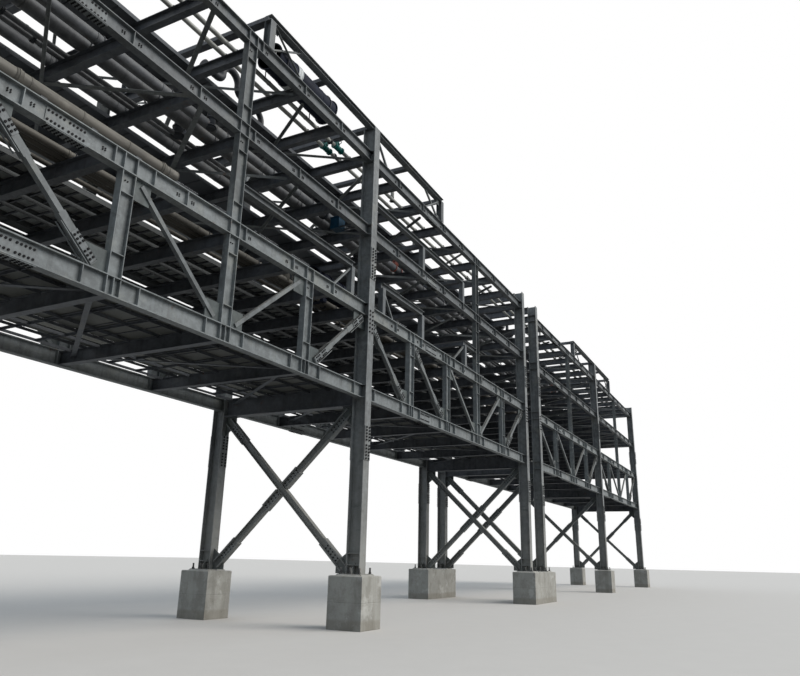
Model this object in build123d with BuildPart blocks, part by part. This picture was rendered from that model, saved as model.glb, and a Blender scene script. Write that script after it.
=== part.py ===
from build123d import *
from math import atan2, cos, degrees, hypot, sin, tan
import os

# Industrial pipe bridge: an open steel frame of two trusses on bents, at half its real size.
# +X runs along the bridge, +Y across it and +Z up. The origin lies on the ground, midway
# between the end bents and midway between the two truss planes.

# Plan
LONG_PANEL = 1400.0
LONG_PANELS = 5
LONG_SPANS = 2
SHORT_PANEL = 1625.0
SHORT_PANELS = 4
SHORT_SPANS = 2
JOINT_GAP = 1050.0
GAUGE = 2400.0
CROSS_BEAM_BAYS = 8

# Top of the floor's steel, then how far each level rises above the one it stands on
FLOOR_TOP = 3040.0
TIER2_RISE = 1160.0
TIER3_RISE = 1200.0
TIER4_RISE = 1200.0
COLUMN_HEAD_RISE = 220.0
RAISED_FRAME_RISE = 470.0
STUB2_RISE = 475.0
STUB3_RISE = 480.0

# Plinths and column feet
PLINTH_SIDE = 480.0
PLINTH_HEIGHT = 620.0
PLINTH_CHAMFER = 10.0
BASE_PLATE_SIDE = 330.0
BASE_PLATE_THICKNESS = 20.0
FOOT_RIB_REACH = 60.0
FOOT_RIB_HEIGHT = 130.0
FOOT_RIB_THICKNESS = 10.0

# H sections: depth, flange width, flange thickness and web thickness
COLUMN_DEPTH = 200.0
COLUMN_WIDTH = 150.0
COLUMN_FLANGE = 12.0
COLUMN_WEB = 8.0
CHORD_DEPTH = 180.0
CHORD_WIDTH = 90.0
CHORD_FLANGE = 11.0
CHORD_WEB = 8.0
TIER_BEAM_DEPTH = 165.0
TIER_BEAM_WIDTH = 85.0
TIER_BEAM_FLANGE = 10.0
TIER_BEAM_WEB = 7.0
POST_DEPTH = 150.0
POST_WIDTH = 80.0
POST_FLANGE = 9.0
POST_WEB = 6.0
CROSS_BEAM_WIDTH = 85.0
CROSS_BEAM_FLANGE = 8.0
CROSS_BEAM_WEB = 6.0
BENT_BEAM_DEPTH = 265.0
BENT_BEAM_WIDTH = 150.0
BENT_BEAM_FLANGE = 12.0
BENT_BEAM_WEB = 8.0
STUB_DEPTH = 80.0
STUB_WIDTH = 80.0
STUB_FLANGE = 6.0
STUB_WEB = 5.0
HEAD_BEAM_DEPTH = 150.0
RAIL_DEPTH = 70.0
RAIL_WIDTH = 100.0
RAIL_FLANGE = 6.0
RAIL_WEB = 5.0

# Braces and gussets
HEAVY_DIAGONAL = 95.0
LIGHT_DIAGONAL = 62.0
DIAGONAL_THICKNESS = 70.0
GUSSET_THICKNESS = 10.0
HEAVY_GUSSET_LIP = 16.0
LIGHT_GUSSET_LIP = 60.0
GUSSET_RISE = 60.0
BENT_BRACE_DEPTH = 105.0
BENT_BRACE_THICKNESS = 75.0
BENT_GUSSET_LIP = 110.0
BENT_GUSSET_RISE = 90.0
PLAN_BRACE_WIDTH = 45.0
PLAN_BRACE_THICKNESS = 8.0
PLAN_BRACE_INSET = 70.0
KNEE_WIDTH = 32.0
KNEE_THICKNESS = 32.0

# Frames that stand on the tiers: places counted in long panels from a bent
STUB2_LEFT_POST = 0.3
STUB2_LEFT_KNEE = 0.6
STUB2_RIGHT_POST = 0.33
STUB2_RIGHT_KNEE = 0.57
STUB2_RIGHT_END = 1.27
STUB2_FAR_POST = 2.57
STUB2_FAR_KNEE = 2.2
STUB3_FIRST_POST = 1.27
STUB3_LAST_POST = 2.5
RAISED_HALF_LENGTH = 2500.0
RAISED_BAYS = 4
RAISED_KNEE_RUN = 380.0

# Pipes and trays
SEAT = 0.3
RUN_OVERHANG = 120.0
TRAY_RAIL_HEIGHT = 50.0
TRAY_RAIL_THICKNESS = 6.0
TRAY_SHEET_THICKNESS = 4.0
PIPE_CLEARANCE = 20.0
SERVICE_PIPE_RADIUS = 62.0
SERVICE_PIPE_END = 2.62
VENT_DUCT_RADIUS = 170.0
VENT_DUCT_DISTANCE = 185.0
VENT_DUCT_INSET = 250.0
VENT_DUCT_LENGTH = 1290.0
TIER2_TRAYS = 4
TIER2_TRAY_START = 960.0
TIER2_TRAY_WIDTH = 230.0
TIER2_TRAY_GAP = 80.0

# Distances from the near truss plane: pipes with their radius, sheet trays with both edges
TIER2_PIPES = ((520.0, 36.0), (604.0, 36.0), (688.0, 36.0), (820.0, 24.0))
TIER3_PIPES = ((430.0, 58.0), (640.0, 78.0), (860.0, 26.0), (940.0, 26.0), (1120.0, 62.0))
TIER4_PIPES = ((392.0, 28.0), (560.0, 28.0), (1900.0, 36.0))
FLOOR_TRAYS = ((170.0, 790.0), (830.0, 1475.0), (1690.0, 1905.0))
TIER3_TRAYS = ((1290.0, 1570.0), (1640.0, 1920.0), (1990.0, 2270.0))
TIER4_TRAYS = ((1050.0, 1350.0), (1420.0, 1720.0))

TIER2_TOP = FLOOR_TOP + TIER2_RISE
TIER3_TOP = TIER2_TOP + TIER3_RISE
TIER4_TOP = TIER3_TOP + TIER4_RISE
COLUMN_TOP = TIER4_TOP + COLUMN_HEAD_RISE
RAISED_TOP = TIER4_TOP + RAISED_FRAME_RISE
STUB2_TOP = TIER2_TOP + STUB2_RISE
STUB3_TOP = TIER3_TOP + STUB3_RISE
HALF_GAUGE = GAUGE / 2
LONG_SPAN = LONG_PANEL * LONG_PANELS
SHORT_SPAN = SHORT_PANEL * SHORT_PANELS
LENGTH = LONG_SPANS * LONG_SPAN + JOINT_GAP + SHORT_SPANS * SHORT_SPAN

# Each span is its left end, right end, panel count and the panel point of its tall post
spans = []
left = -LENGTH / 2
for index in range(LONG_SPANS):
    spans.append((left, left + LONG_SPAN, LONG_PANELS, (LONG_PANELS + 1) // 2))
    left = left + LONG_SPAN
joint_left = left
joint_right = left + JOINT_GAP
left = joint_right
for index in range(SHORT_SPANS):
    spans.append((left, left + SHORT_SPAN, SHORT_PANELS, SHORT_PANELS // 2))
    left = left + SHORT_SPAN

# Every second bent, counted from the left end, carries a raised frame
supports = sorted({x for span in spans for x in span[:2]})
raised_supports = [spans[0][1], spans[LONG_SPANS][1]]
first_raised = raised_supports[0]
runs = [(spans[0][0], joint_left), (joint_right, spans[-1][1])]
raised_bottom = RAISED_TOP - RAIL_DEPTH
column_foot = PLINTH_HEIGHT + BASE_PLATE_THICKNESS
column_face = HALF_GAUGE - COLUMN_DEPTH / 2
floor_seat = FLOOR_TOP - CHORD_FLANGE - SEAT
bent_beam_foot = floor_seat - BENT_BEAM_DEPTH


def h_section(depth, width, flange, web):
    """Draw an H outline, its web along the sketch's y, at the current locations."""
    Rectangle(web, depth)
    with Locations((0, (depth - flange) / 2), (0, (flange - depth) / 2)):
        Rectangle(width, flange)


def lengthwise_beam(start, end, y, top, depth, width, flange, web):
    """Add one H beam along the bridge to the current part."""
    with BuildSketch(Plane.YZ.offset(start)) as outline:
        with Locations((y, top - depth / 2)):
            h_section(depth, width, flange, web)
    extrude(outline.sketch, amount=end - start)


def beams_on_supports(y, top, depth, width, flange, web):
    """Add one H beam for each span, its ends on the webs of the columns."""
    for start, end, panels, tall in spans:
        lengthwise_beam(
            start + COLUMN_WEB / 2, end - COLUMN_WEB / 2, y, top, depth, width, flange, web
        )


def cross_beams(places, top, reach, depth, width, flange, web):
    """Add H beams across the bridge at the given x, reach being half their length."""
    with BuildSketch(Plane.XZ) as outline:
        with Locations(*[(x, top - depth / 2) for x in places]):
            h_section(depth, width, flange, web)
    extrude(outline.sketch, amount=reach, both=True)


def cross_tubes(places, top, reach, depth, width):
    """Add rectangular tubes across the bridge at the given x, reach being half their length."""
    with BuildSketch(Plane.XZ) as outline:
        with Locations(*[(x, top - depth / 2) for x in places]):
            Rectangle(width, depth)
    extrude(outline.sketch, amount=reach, both=True)


def upright_posts(points, bottom, top, depth, width, flange, web, turn=0):
    """Add upright H posts at plan points, flanges facing across the bridge unless turned."""
    with BuildSketch(Plane.XY.offset(bottom)) as outline:
        with Locations(*[Location((x, y, 0), (0, 0, turn)) for x, y in points]):
            h_section(depth, width, flange, web)
    extrude(outline.sketch, amount=top - bottom)


def panel_points(span):
    """Return the x of the posts inside a span."""
    start, end, panels, tall = span
    return [start + (end - start) * k / panels for k in range(1, panels)]


def tall_point(span):
    """Return the x of the tall post of a span."""
    start, end, panels, tall = span
    return start + (end - start) * tall / panels


def inner_cross_points(span):
    """Return the x of the cross beams between the two bents of a span."""
    start, end = span[:2]
    return [start + (end - start) * k / CROSS_BEAM_BAYS for k in range(1, CROSS_BEAM_BAYS)]


def sheet_trays(start, end, seat, edges):
    """Add open sheet trays along the bridge, each a flat sheet with two upright rails."""
    with BuildSketch(Plane.YZ.offset(start)) as outline:
        for inner, outer in edges:
            middle = (inner + outer) / 2 - HALF_GAUGE
            with Locations((middle, seat + TRAY_SHEET_THICKNESS / 2)):
                Rectangle(outer - inner, TRAY_SHEET_THICKNESS)
            for edge in (inner + TRAY_RAIL_THICKNESS / 2, outer - TRAY_RAIL_THICKNESS / 2):
                with Locations((edge - HALF_GAUGE, seat + TRAY_RAIL_HEIGHT / 2)):
                    Rectangle(TRAY_RAIL_THICKNESS, TRAY_RAIL_HEIGHT)
    extrude(outline.sketch, amount=end - start)


class Brace:
    """A straight bar between two plates that sit in square corners of a frame.

    Works in the frame's own plane: low and high are the work points of the bar, low_corner
    and high_corner the corners that its gussets fill.
    """

    def __init__(self, low, high, low_corner, high_corner, depth, lip, rise):
        self.low, self.high = low, high
        self.low_corner, self.high_corner = low_corner, high_corner
        self.depth, self.rise = depth, rise
        self.side = 1 if high[0] > low[0] else -1
        self.angle = atan2(high[1] - low[1], abs(high[0] - low[0]))
        inset = lip + depth / 2 * cos(self.angle)
        self.low_end = self.along(low_corner[1] + inset)
        self.high_end = self.along(high_corner[1] - inset)

    def along(self, z):
        """Return the point of the work line at height z."""
        return (self.low[0] + self.side * (z - self.low[1]) / tan(self.angle), z)

    def bar(self):
        """Draw the bar's outline in the current sketch."""
        middle = [(a + b) / 2 for a, b in zip(self.low_end, self.high_end)]
        length = hypot(self.high_end[0] - self.low_end[0], self.high_end[1] - self.low_end[1])
        with Locations(tuple(middle)):
            Rectangle(length, self.depth, rotation=self.side * degrees(self.angle))

    def plate(self, corner, end, up):
        """Draw the gusset of one end, up being 1 at the low end and -1 at the high end."""
        out = self.side * up
        across = self.depth / 2 * sin(self.angle)
        rise = self.depth / 2 * cos(self.angle)
        toe = (end[0] + out * across, end[1] - up * rise)
        heel = (end[0] - out * across, end[1] + up * rise)
        Polygon(
            corner,
            (toe[0], corner[1]),
            toe,
            heel,
            (corner[0], heel[1] + up * self.rise),
            align=None,
        )

    def plates(self):
        """Draw both gussets in the current sketch."""
        self.plate(self.low_corner, self.low_end, 1)
        self.plate(self.high_corner, self.high_end, -1)


def truss_braces():
    """Return the diagonals of one truss, each falling towards its span's tall post."""
    floor = FLOOR_TOP - CHORD_DEPTH / 2
    roof = TIER2_TOP - CHORD_DEPTH / 2
    braces = []
    for start, end, panels, tall in spans:
        panel = (end - start) / panels
        for k in range(panels):
            x0, x1 = start + k * panel, start + (k + 1) * panel
            half0 = COLUMN_WEB / 2 if k == 0 else POST_DEPTH / 2
            half1 = COLUMN_WEB / 2 if k == panels - 1 else POST_DEPTH / 2
            light = k in (tall - 1, tall)
            depth = LIGHT_DIAGONAL if light else HEAVY_DIAGONAL
            lip = LIGHT_GUSSET_LIP if light else HEAVY_GUSSET_LIP
            if k < tall:
                low, high = (x1, floor), (x0, roof)
                low_corner = (x1 - half1, FLOOR_TOP)
                high_corner = (x0 + half0, TIER2_TOP - CHORD_DEPTH)
            else:
                low, high = (x0, floor), (x1, roof)
                low_corner = (x0 + half0, FLOOR_TOP)
                high_corner = (x1 - half1, TIER2_TOP - CHORD_DEPTH)
            braces.append(Brace(low, high, low_corner, high_corner, depth, lip, GUSSET_RISE))
    return braces


def bent_braces():
    """Return the two crossing braces of a bent, in the plane of y and z."""
    crossing = []
    for side in (1, -1):
        low = (-side * column_face, column_foot)
        high = (side * column_face, bent_beam_foot)
        crossing.append(
            Brace(low, high, low, high, BENT_BRACE_DEPTH, BENT_GUSSET_LIP, BENT_GUSSET_RISE)
        )
    return crossing


os.makedirs("parts", exist_ok=True)

# Concrete plinths, one for each column and a long one under the twin bents of the joint
single_supports = [x for x in supports if x not in (joint_left, joint_right)]
with BuildPart() as concrete_plinths:
    with BuildSketch():
        with Locations(*[(x, y) for x in single_supports for y in (-HALF_GAUGE, HALF_GAUGE)]):
            Rectangle(PLINTH_SIDE, PLINTH_SIDE)
        with Locations(*[((joint_left + joint_right) / 2, y) for y in (-HALF_GAUGE, HALF_GAUGE)]):
            Rectangle(JOINT_GAP + PLINTH_SIDE, PLINTH_SIDE)
    extrude(amount=PLINTH_HEIGHT)
    top_edges = concrete_plinths.faces().filter_by(Axis.Z).group_by(Axis.Z)[-1].edges()
    chamfer(top_edges, PLINTH_CHAMFER)
concrete_plinths.part.label = "concrete_plinths"
export_step(concrete_plinths.part, "parts/concrete_plinths.step")

# Column base plates
feet = [(x, y) for x in supports for y in (-HALF_GAUGE, HALF_GAUGE)]
with BuildPart() as base_plates:
    with BuildSketch(Plane.XY.offset(PLINTH_HEIGHT)):
        with Locations(*feet):
            Rectangle(BASE_PLATE_SIDE, BASE_PLATE_SIDE)
    extrude(amount=BASE_PLATE_THICKNESS)
base_plates.part.label = "base_plates"
export_step(base_plates.part, "parts/base_plates.step")

# Tapered ribs that stiffen each column's foot, on both sides of its web's plane
with BuildPart() as foot_ribs:
    rib_reach = COLUMN_WIDTH / 2 + FOOT_RIB_REACH
    for y in (-HALF_GAUGE, HALF_GAUGE):
        with BuildSketch(Plane.XZ.offset(-y)):
            for x in supports:
                for out in (1, -1):
                    Polygon(
                        (x + out * COLUMN_WEB / 2, column_foot),
                        (x + out * rib_reach, column_foot),
                        (x + out * rib_reach, column_foot + FOOT_RIB_HEIGHT / 4),
                        (x + out * COLUMN_WEB / 2, column_foot + FOOT_RIB_HEIGHT),
                        align=None,
                    )
        extrude(amount=FOOT_RIB_THICKNESS / 2, both=True)
foot_ribs.part.label = "foot_ribs"
export_step(foot_ribs.part, "parts/foot_ribs.step")

# Columns: those under a raised frame reach its rails
for side, y in (("near", -HALF_GAUGE), ("far", HALF_GAUGE)):
    with BuildPart() as columns:
        for x in supports:
            top = raised_bottom if x in raised_supports else COLUMN_TOP
            upright_posts(
                [(x, y)], column_foot, top, COLUMN_DEPTH, COLUMN_WIDTH, COLUMN_FLANGE, COLUMN_WEB
            )
    columns.part.label = f"{side}_columns"
    export_step(columns.part, f"parts/{side}_columns.step")

# Deep cross beams that tie each pair of columns under the floor
with BuildPart() as bent_cross_beams:
    cross_beams(
        supports,
        floor_seat,
        column_face,
        BENT_BEAM_DEPTH,
        BENT_BEAM_WIDTH,
        BENT_BEAM_FLANGE,
        BENT_BEAM_WEB,
    )
bent_cross_beams.part.label = "bent_cross_beams"
export_step(bent_cross_beams.part, "parts/bent_cross_beams.step")

# Crossed braces of the bents: one bar runs through, the other stops at its sides
with BuildPart() as bent_cross_braces:
    through, stopped = bent_braces()
    for x in supports:
        with BuildSketch(Plane.YZ.offset(x)):
            stopped.bar()
            with Locations((0, (column_foot + bent_beam_foot) / 2)):
                Rectangle(
                    GAUGE,
                    BENT_BRACE_DEPTH + 2 * SEAT,
                    rotation=degrees(through.angle),
                    mode=Mode.SUBTRACT,
                )
            through.bar()
        extrude(amount=BENT_BRACE_THICKNESS / 2, both=True)
bent_cross_braces.part.label = "bent_cross_braces"
export_step(bent_cross_braces.part, "parts/bent_cross_braces.step")

with BuildPart() as bent_brace_gussets:
    for x in supports:
        with BuildSketch(Plane.YZ.offset(x)):
            for brace in bent_braces():
                brace.plates()
        extrude(amount=GUSSET_THICKNESS / 2, both=True)
bent_brace_gussets.part.label = "bent_brace_gussets"
export_step(bent_brace_gussets.part, "parts/bent_brace_gussets.step")

# The two trusses and the tier beams above them
for side, y in (("near", -HALF_GAUGE), ("far", HALF_GAUGE)):
    for name, top in (("bottom_chord", FLOOR_TOP), ("top_chord", TIER2_TOP)):
        with BuildPart() as chord:
            beams_on_supports(y, top, CHORD_DEPTH, CHORD_WIDTH, CHORD_FLANGE, CHORD_WEB)
        chord.part.label = f"{side}_{name}"
        export_step(chord.part, f"parts/{side}_{name}.step")

    for name, top in (("tier3_beam", TIER3_TOP), ("tier4_beam", TIER4_TOP)):
        with BuildPart() as tier_beam:
            beams_on_supports(
                y, top, TIER_BEAM_DEPTH, TIER_BEAM_WIDTH, TIER_BEAM_FLANGE, TIER_BEAM_WEB
            )
        tier_beam.part.label = f"{side}_{name}"
        export_step(tier_beam.part, f"parts/{side}_{name}.step")

    with BuildPart() as posts:
        for places, bottom, top in (
            ([x for span in spans for x in panel_points(span)], FLOOR_TOP, TIER2_TOP - CHORD_DEPTH),
            ([tall_point(span) for span in spans], TIER2_TOP, TIER3_TOP - TIER_BEAM_DEPTH),
            ([tall_point(span) for span in spans], TIER3_TOP, TIER4_TOP - TIER_BEAM_DEPTH),
        ):
            upright_posts(
                [(x, y) for x in places],
                bottom,
                top,
                POST_DEPTH,
                POST_WIDTH,
                POST_FLANGE,
                POST_WEB,
                turn=90,
            )
    posts.part.label = f"{side}_posts"
    export_step(posts.part, f"parts/{side}_posts.step")

    with BuildPart() as diagonals:
        with BuildSketch(Plane.XZ.offset(-y)):
            for brace in truss_braces():
                brace.bar()
        extrude(amount=DIAGONAL_THICKNESS / 2, both=True)
    diagonals.part.label = f"{side}_diagonals"
    export_step(diagonals.part, f"parts/{side}_diagonals.step")

    with BuildPart() as gussets:
        with BuildSketch(Plane.XZ.offset(-y)):
            for brace in truss_braces():
                brace.plates()
        extrude(amount=GUSSET_THICKNESS / 2, both=True)
    gussets.part.label = f"{side}_gussets"
    export_step(gussets.part, f"parts/{side}_gussets.step")

# Floor cross beams at the panel points, their ends on the webs of the bottom chords
floor_beam_depth = CHORD_DEPTH - 2 * CHORD_FLANGE - 2 * SEAT
with BuildPart() as floor_cross_beams:
    cross_beams(
        [x for span in spans for x in panel_points(span)],
        floor_seat,
        HALF_GAUGE - CHORD_WEB / 2,
        floor_beam_depth,
        CROSS_BEAM_WIDTH,
        CROSS_BEAM_FLANGE,
        CROSS_BEAM_WEB,
    )
floor_cross_beams.part.label = "floor_cross_beams"
export_step(floor_cross_beams.part, "parts/floor_cross_beams.step")

# Cross beams of the tiers: shorter ones tie the columns, the rest reach the beams' webs
tier_cross_levels = (
    ("tier2", TIER2_TOP, CHORD_DEPTH, CHORD_FLANGE, CHORD_WEB),
    ("tier3", TIER3_TOP, TIER_BEAM_DEPTH, TIER_BEAM_FLANGE, TIER_BEAM_WEB),
    ("tier4", TIER4_TOP, TIER_BEAM_DEPTH, TIER_BEAM_FLANGE, TIER_BEAM_WEB),
)
for name, top, depth, flange, web in tier_cross_levels:
    with BuildPart() as tier_cross_beams:
        for places, reach in (
            (supports, column_face),
            ([x for span in spans for x in inner_cross_points(span)], HALF_GAUGE - web / 2),
        ):
            cross_beams(
                places,
                top - flange - SEAT,
                reach,
                depth - 2 * flange - 2 * SEAT,
                CROSS_BEAM_WIDTH,
                CROSS_BEAM_FLANGE,
                CROSS_BEAM_WEB,
            )
    tier_cross_beams.part.label = f"{name}_cross_beams"
    export_step(tier_cross_beams.part, f"parts/{name}_cross_beams.step")

# Floor bracing: one flat bar in each panel, from web to web of its two cross beams
floor_brace_level = floor_seat - floor_beam_depth / 2 - PLAN_BRACE_THICKNESS / 2
outer_edge = column_face - PLAN_BRACE_INSET
inner_edge = outer_edge - 2 * PLAN_BRACE_WIDTH
with BuildPart() as floor_plan_bracing:
    with BuildSketch(Plane.XY.offset(floor_brace_level)):
        for start, end, panels, tall in spans:
            panel = (end - start) / panels
            for k in range(panels):
                side = 1 if k % 2 else -1
                x0 = start + k * panel + (BENT_BEAM_WEB if k == 0 else CROSS_BEAM_WEB) / 2
                x1 = start + (k + 1) * panel
                x1 = x1 - (BENT_BEAM_WEB if k == panels - 1 else CROSS_BEAM_WEB) / 2
                Polygon(
                    (x0, side * outer_edge),
                    (x0, side * inner_edge),
                    (x1, -side * outer_edge),
                    (x1, -side * inner_edge),
                    align=None,
                )
    extrude(amount=PLAN_BRACE_THICKNESS)
floor_plan_bracing.part.label = "floor_plan_bracing"
export_step(floor_plan_bracing.part, "parts/floor_plan_bracing.step")

# Bracing of the upper tiers: flat bars under the cross beams, zigzag from side to side
edge = HALF_GAUGE - TIER_BEAM_WIDTH / 2
for name, top in (("tier3", TIER3_TOP), ("tier4", TIER4_TOP)):
    level = top - TIER_BEAM_DEPTH + TIER_BEAM_FLANGE + SEAT - PLAN_BRACE_THICKNESS
    with BuildPart() as plan_bracing:
        with BuildSketch(Plane.XY.offset(level)):
            for start, end, panels, tall in spans:
                bay = (end - start) / SHORT_PANELS
                for k in range(SHORT_PANELS):
                    side = 1 if k % 2 else -1
                    x0 = start + k * bay + PLAN_BRACE_INSET + PLAN_BRACE_WIDTH
                    x1 = start + (k + 1) * bay - PLAN_BRACE_INSET - PLAN_BRACE_WIDTH
                    Polygon(
                        (x0 - PLAN_BRACE_WIDTH, side * edge),
                        (x0 + PLAN_BRACE_WIDTH / 2, side * edge),
                        (x1 + PLAN_BRACE_WIDTH, -side * edge),
                        (x1 - PLAN_BRACE_WIDTH / 2, -side * edge),
                        align=None,
                    )
        extrude(amount=PLAN_BRACE_THICKNESS)
    plan_bracing.part.label = f"{name}_plan_bracing"
    export_step(plan_bracing.part, f"parts/{name}_plan_bracing.step")

# Cross beams over the heads of the columns that carry no raised frame
with BuildPart() as column_head_beams:
    cross_beams(
        [x for x in supports if x not in raised_supports],
        COLUMN_TOP,
        column_face,
        HEAD_BEAM_DEPTH,
        CROSS_BEAM_WIDTH,
        CROSS_BEAM_FLANGE,
        CROSS_BEAM_WEB,
    )
column_head_beams.part.label = "column_head_beams"
export_step(column_head_beams.part, "parts/column_head_beams.step")

# Small frames on tiers two and three beside the first raised bent: posts and cross tubes
stub2_posts = [
    first_raised + place * LONG_PANEL
    for place in (-STUB2_LEFT_POST, STUB2_RIGHT_POST, STUB2_RIGHT_END, STUB2_FAR_POST)
]
stub3_posts = [first_raised + place * LONG_PANEL for place in (STUB3_FIRST_POST, STUB3_LAST_POST)]
stub_half = STUB_WIDTH / 2
stub_rail_runs = (
    (tall_point(spans[0]) + POST_DEPTH / 2, stub2_posts[0] + stub_half, STUB2_TOP),
    (stub2_posts[1] - stub_half, stub2_posts[2] + stub_half, STUB2_TOP),
    (stub2_posts[3] - stub_half, tall_point(spans[1]) - POST_DEPTH / 2, STUB2_TOP),
    (first_raised + COLUMN_WEB / 2, stub3_posts[1] + stub_half, STUB3_TOP),
)
with BuildPart() as stub_frame_posts:
    for y in (-HALF_GAUGE, HALF_GAUGE):
        for places, bottom, top in (
            (stub2_posts, TIER2_TOP, STUB2_TOP),
            (stub3_posts, TIER3_TOP, STUB3_TOP),
        ):
            with BuildSketch(Plane.XY.offset(bottom)):
                with Locations(*[(x, y) for x in places]):
                    Rectangle(STUB_WIDTH, STUB_WIDTH)
            extrude(amount=top - STUB_DEPTH - bottom)
stub_frame_posts.part.label = "stub_frame_posts"
export_step(stub_frame_posts.part, "parts/stub_frame_posts.step")

with BuildPart() as stub_frame_rails:
    for y in (-HALF_GAUGE, HALF_GAUGE):
        for start, end, top in stub_rail_runs:
            lengthwise_beam(start, end, y, top, STUB_DEPTH, STUB_WIDTH, STUB_FLANGE, STUB_WEB)
stub_frame_rails.part.label = "stub_frame_rails"
export_step(stub_frame_rails.part, "parts/stub_frame_rails.step")

with BuildPart() as stub_frame_cross_beams:
    for places, top in ((stub2_posts, STUB2_TOP), (stub3_posts, STUB3_TOP)):
        inner_depth = STUB_DEPTH - 2 * STUB_FLANGE - 2 * SEAT
        cross_tubes(
            places, top - STUB_FLANGE - SEAT, HALF_GAUGE - STUB_WEB / 2, inner_depth, STUB_WIDTH
        )
stub_frame_cross_beams.part.label = "stub_frame_cross_beams"
export_step(stub_frame_cross_beams.part, "parts/stub_frame_cross_beams.step")

# Raised frames on tier four, each centred on a bent whose columns reach its rails
with BuildPart() as raised_frame_posts:
    ends = [x + out * RAISED_HALF_LENGTH for x in raised_supports for out in (-1, 1)]
    upright_posts(
        [(x, y) for x in ends for y in (-HALF_GAUGE, HALF_GAUGE)],
        TIER4_TOP,
        raised_bottom,
        RAIL_WIDTH,
        RAIL_WIDTH,
        RAIL_FLANGE,
        RAIL_WEB,
    )
raised_frame_posts.part.label = "raised_frame_posts"
export_step(raised_frame_posts.part, "parts/raised_frame_posts.step")

with BuildPart() as raised_frame_rails:
    rail_half = RAISED_HALF_LENGTH + RAIL_WIDTH / 2
    for y in (-HALF_GAUGE, HALF_GAUGE):
        for x in raised_supports:
            lengthwise_beam(
                x - rail_half,
                x + rail_half,
                y,
                RAISED_TOP,
                RAIL_DEPTH,
                RAIL_WIDTH,
                RAIL_FLANGE,
                RAIL_WEB,
            )
raised_frame_rails.part.label = "raised_frame_rails"
export_step(raised_frame_rails.part, "parts/raised_frame_rails.step")

with BuildPart() as raised_frame_cross_beams:
    bay = 2 * RAISED_HALF_LENGTH / RAISED_BAYS
    cross_tubes(
        [x - RAISED_HALF_LENGTH + k * bay for x in raised_supports for k in range(RAISED_BAYS + 1)],
        RAISED_TOP - RAIL_FLANGE - SEAT,
        HALF_GAUGE - RAIL_WEB / 2,
        RAIL_DEPTH - 2 * RAIL_FLANGE - 2 * SEAT,
        RAIL_WIDTH,
    )
raised_frame_cross_beams.part.label = "raised_frame_cross_beams"
export_step(raised_frame_cross_beams.part, "parts/raised_frame_cross_beams.step")

# Knee braces: from a beam's top to a stub post's web, or to the underside of a raised rail
stub_knees = (
    (first_raised - STUB2_LEFT_KNEE * LONG_PANEL, stub2_posts[0] - stub_half),
    (first_raised + STUB2_RIGHT_KNEE * LONG_PANEL, stub2_posts[1] + stub_half),
    (first_raised + STUB2_FAR_KNEE * LONG_PANEL, stub2_posts[3] - stub_half),
)
with BuildPart() as knee_braces:
    for y in (-HALF_GAUGE, HALF_GAUGE):
        with BuildSketch(Plane.XZ.offset(-y)):
            head = STUB2_TOP - STUB_DEPTH - KNEE_WIDTH
            for foot, face in stub_knees:
                lift = KNEE_WIDTH / 2 if face > foot else -KNEE_WIDTH / 2
                Polygon(
                    (foot - KNEE_WIDTH / 2, TIER2_TOP),
                    (foot + KNEE_WIDTH / 2, TIER2_TOP),
                    (face, head - lift),
                    (face, head + lift),
                    align=None,
                )
            for x in raised_supports:
                high = x + COLUMN_WIDTH / 2 + KNEE_WIDTH
                low = high + RAISED_KNEE_RUN
                Polygon(
                    (high, raised_bottom),
                    (high + KNEE_WIDTH, raised_bottom),
                    (low + KNEE_WIDTH, TIER4_TOP),
                    (low, TIER4_TOP),
                    align=None,
                )
        extrude(amount=KNEE_THICKNESS / 2, both=True)
knee_braces.part.label = "knee_braces"
export_step(knee_braces.part, "parts/knee_braces.step")

# Pipes lie on the cross beams: distance from the near truss, radius, and ends
tier2_seat = TIER2_TOP - CHORD_FLANGE
tier3_seat = TIER3_TOP - TIER_BEAM_FLANGE
tier4_seat = TIER4_TOP - TIER_BEAM_FLANGE
bridge_start = -LENGTH / 2 - RUN_OVERHANG
bridge_end = LENGTH / 2 + RUN_OVERHANG
pipe_runs = {
    "tier2_pipes": (tier2_seat, TIER2_PIPES),
    "tier3_pipes": (tier3_seat, TIER3_PIPES),
    "tier4_pipes": (tier4_seat, TIER4_PIPES),
}
for name, (seat, rows) in pipe_runs.items():
    with BuildPart() as pipes:
        with BuildSketch(Plane.YZ.offset(bridge_start)):
            for distance, radius in rows:
                with Locations((distance - HALF_GAUGE, seat + radius)):
                    Circle(radius)
        extrude(amount=bridge_end - bridge_start)
    pipes.part.label = name
    export_step(pipes.part, f"parts/{name}.step")

# The lagged service pipe on the near top chord ends beyond the first span's tall post
with BuildPart() as dusty_service_pipe:
    pipe_start = spans[0][0] + COLUMN_WIDTH / 2 + PIPE_CLEARANCE
    with BuildSketch(Plane.YZ.offset(pipe_start)):
        with Locations((-HALF_GAUGE, TIER2_TOP + SEAT + SERVICE_PIPE_RADIUS)):
            Circle(SERVICE_PIPE_RADIUS)
    extrude(amount=first_raised - SERVICE_PIPE_END * LONG_PANEL - pipe_start)
dusty_service_pipe.part.label = "dusty_service_pipe"
export_step(dusty_service_pipe.part, "parts/dusty_service_pipe.step")

# Large vent duct that lies inside the first raised frame
with BuildPart() as vent_duct:
    duct_start = first_raised - RAISED_HALF_LENGTH + VENT_DUCT_INSET
    with BuildSketch(Plane.YZ.offset(duct_start)):
        with Locations((VENT_DUCT_DISTANCE - HALF_GAUGE, tier4_seat + VENT_DUCT_RADIUS)):
            Circle(VENT_DUCT_RADIUS)
    extrude(amount=VENT_DUCT_LENGTH)
vent_duct.part.label = "vent_duct"
export_step(vent_duct.part, "parts/vent_duct.step")

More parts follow.
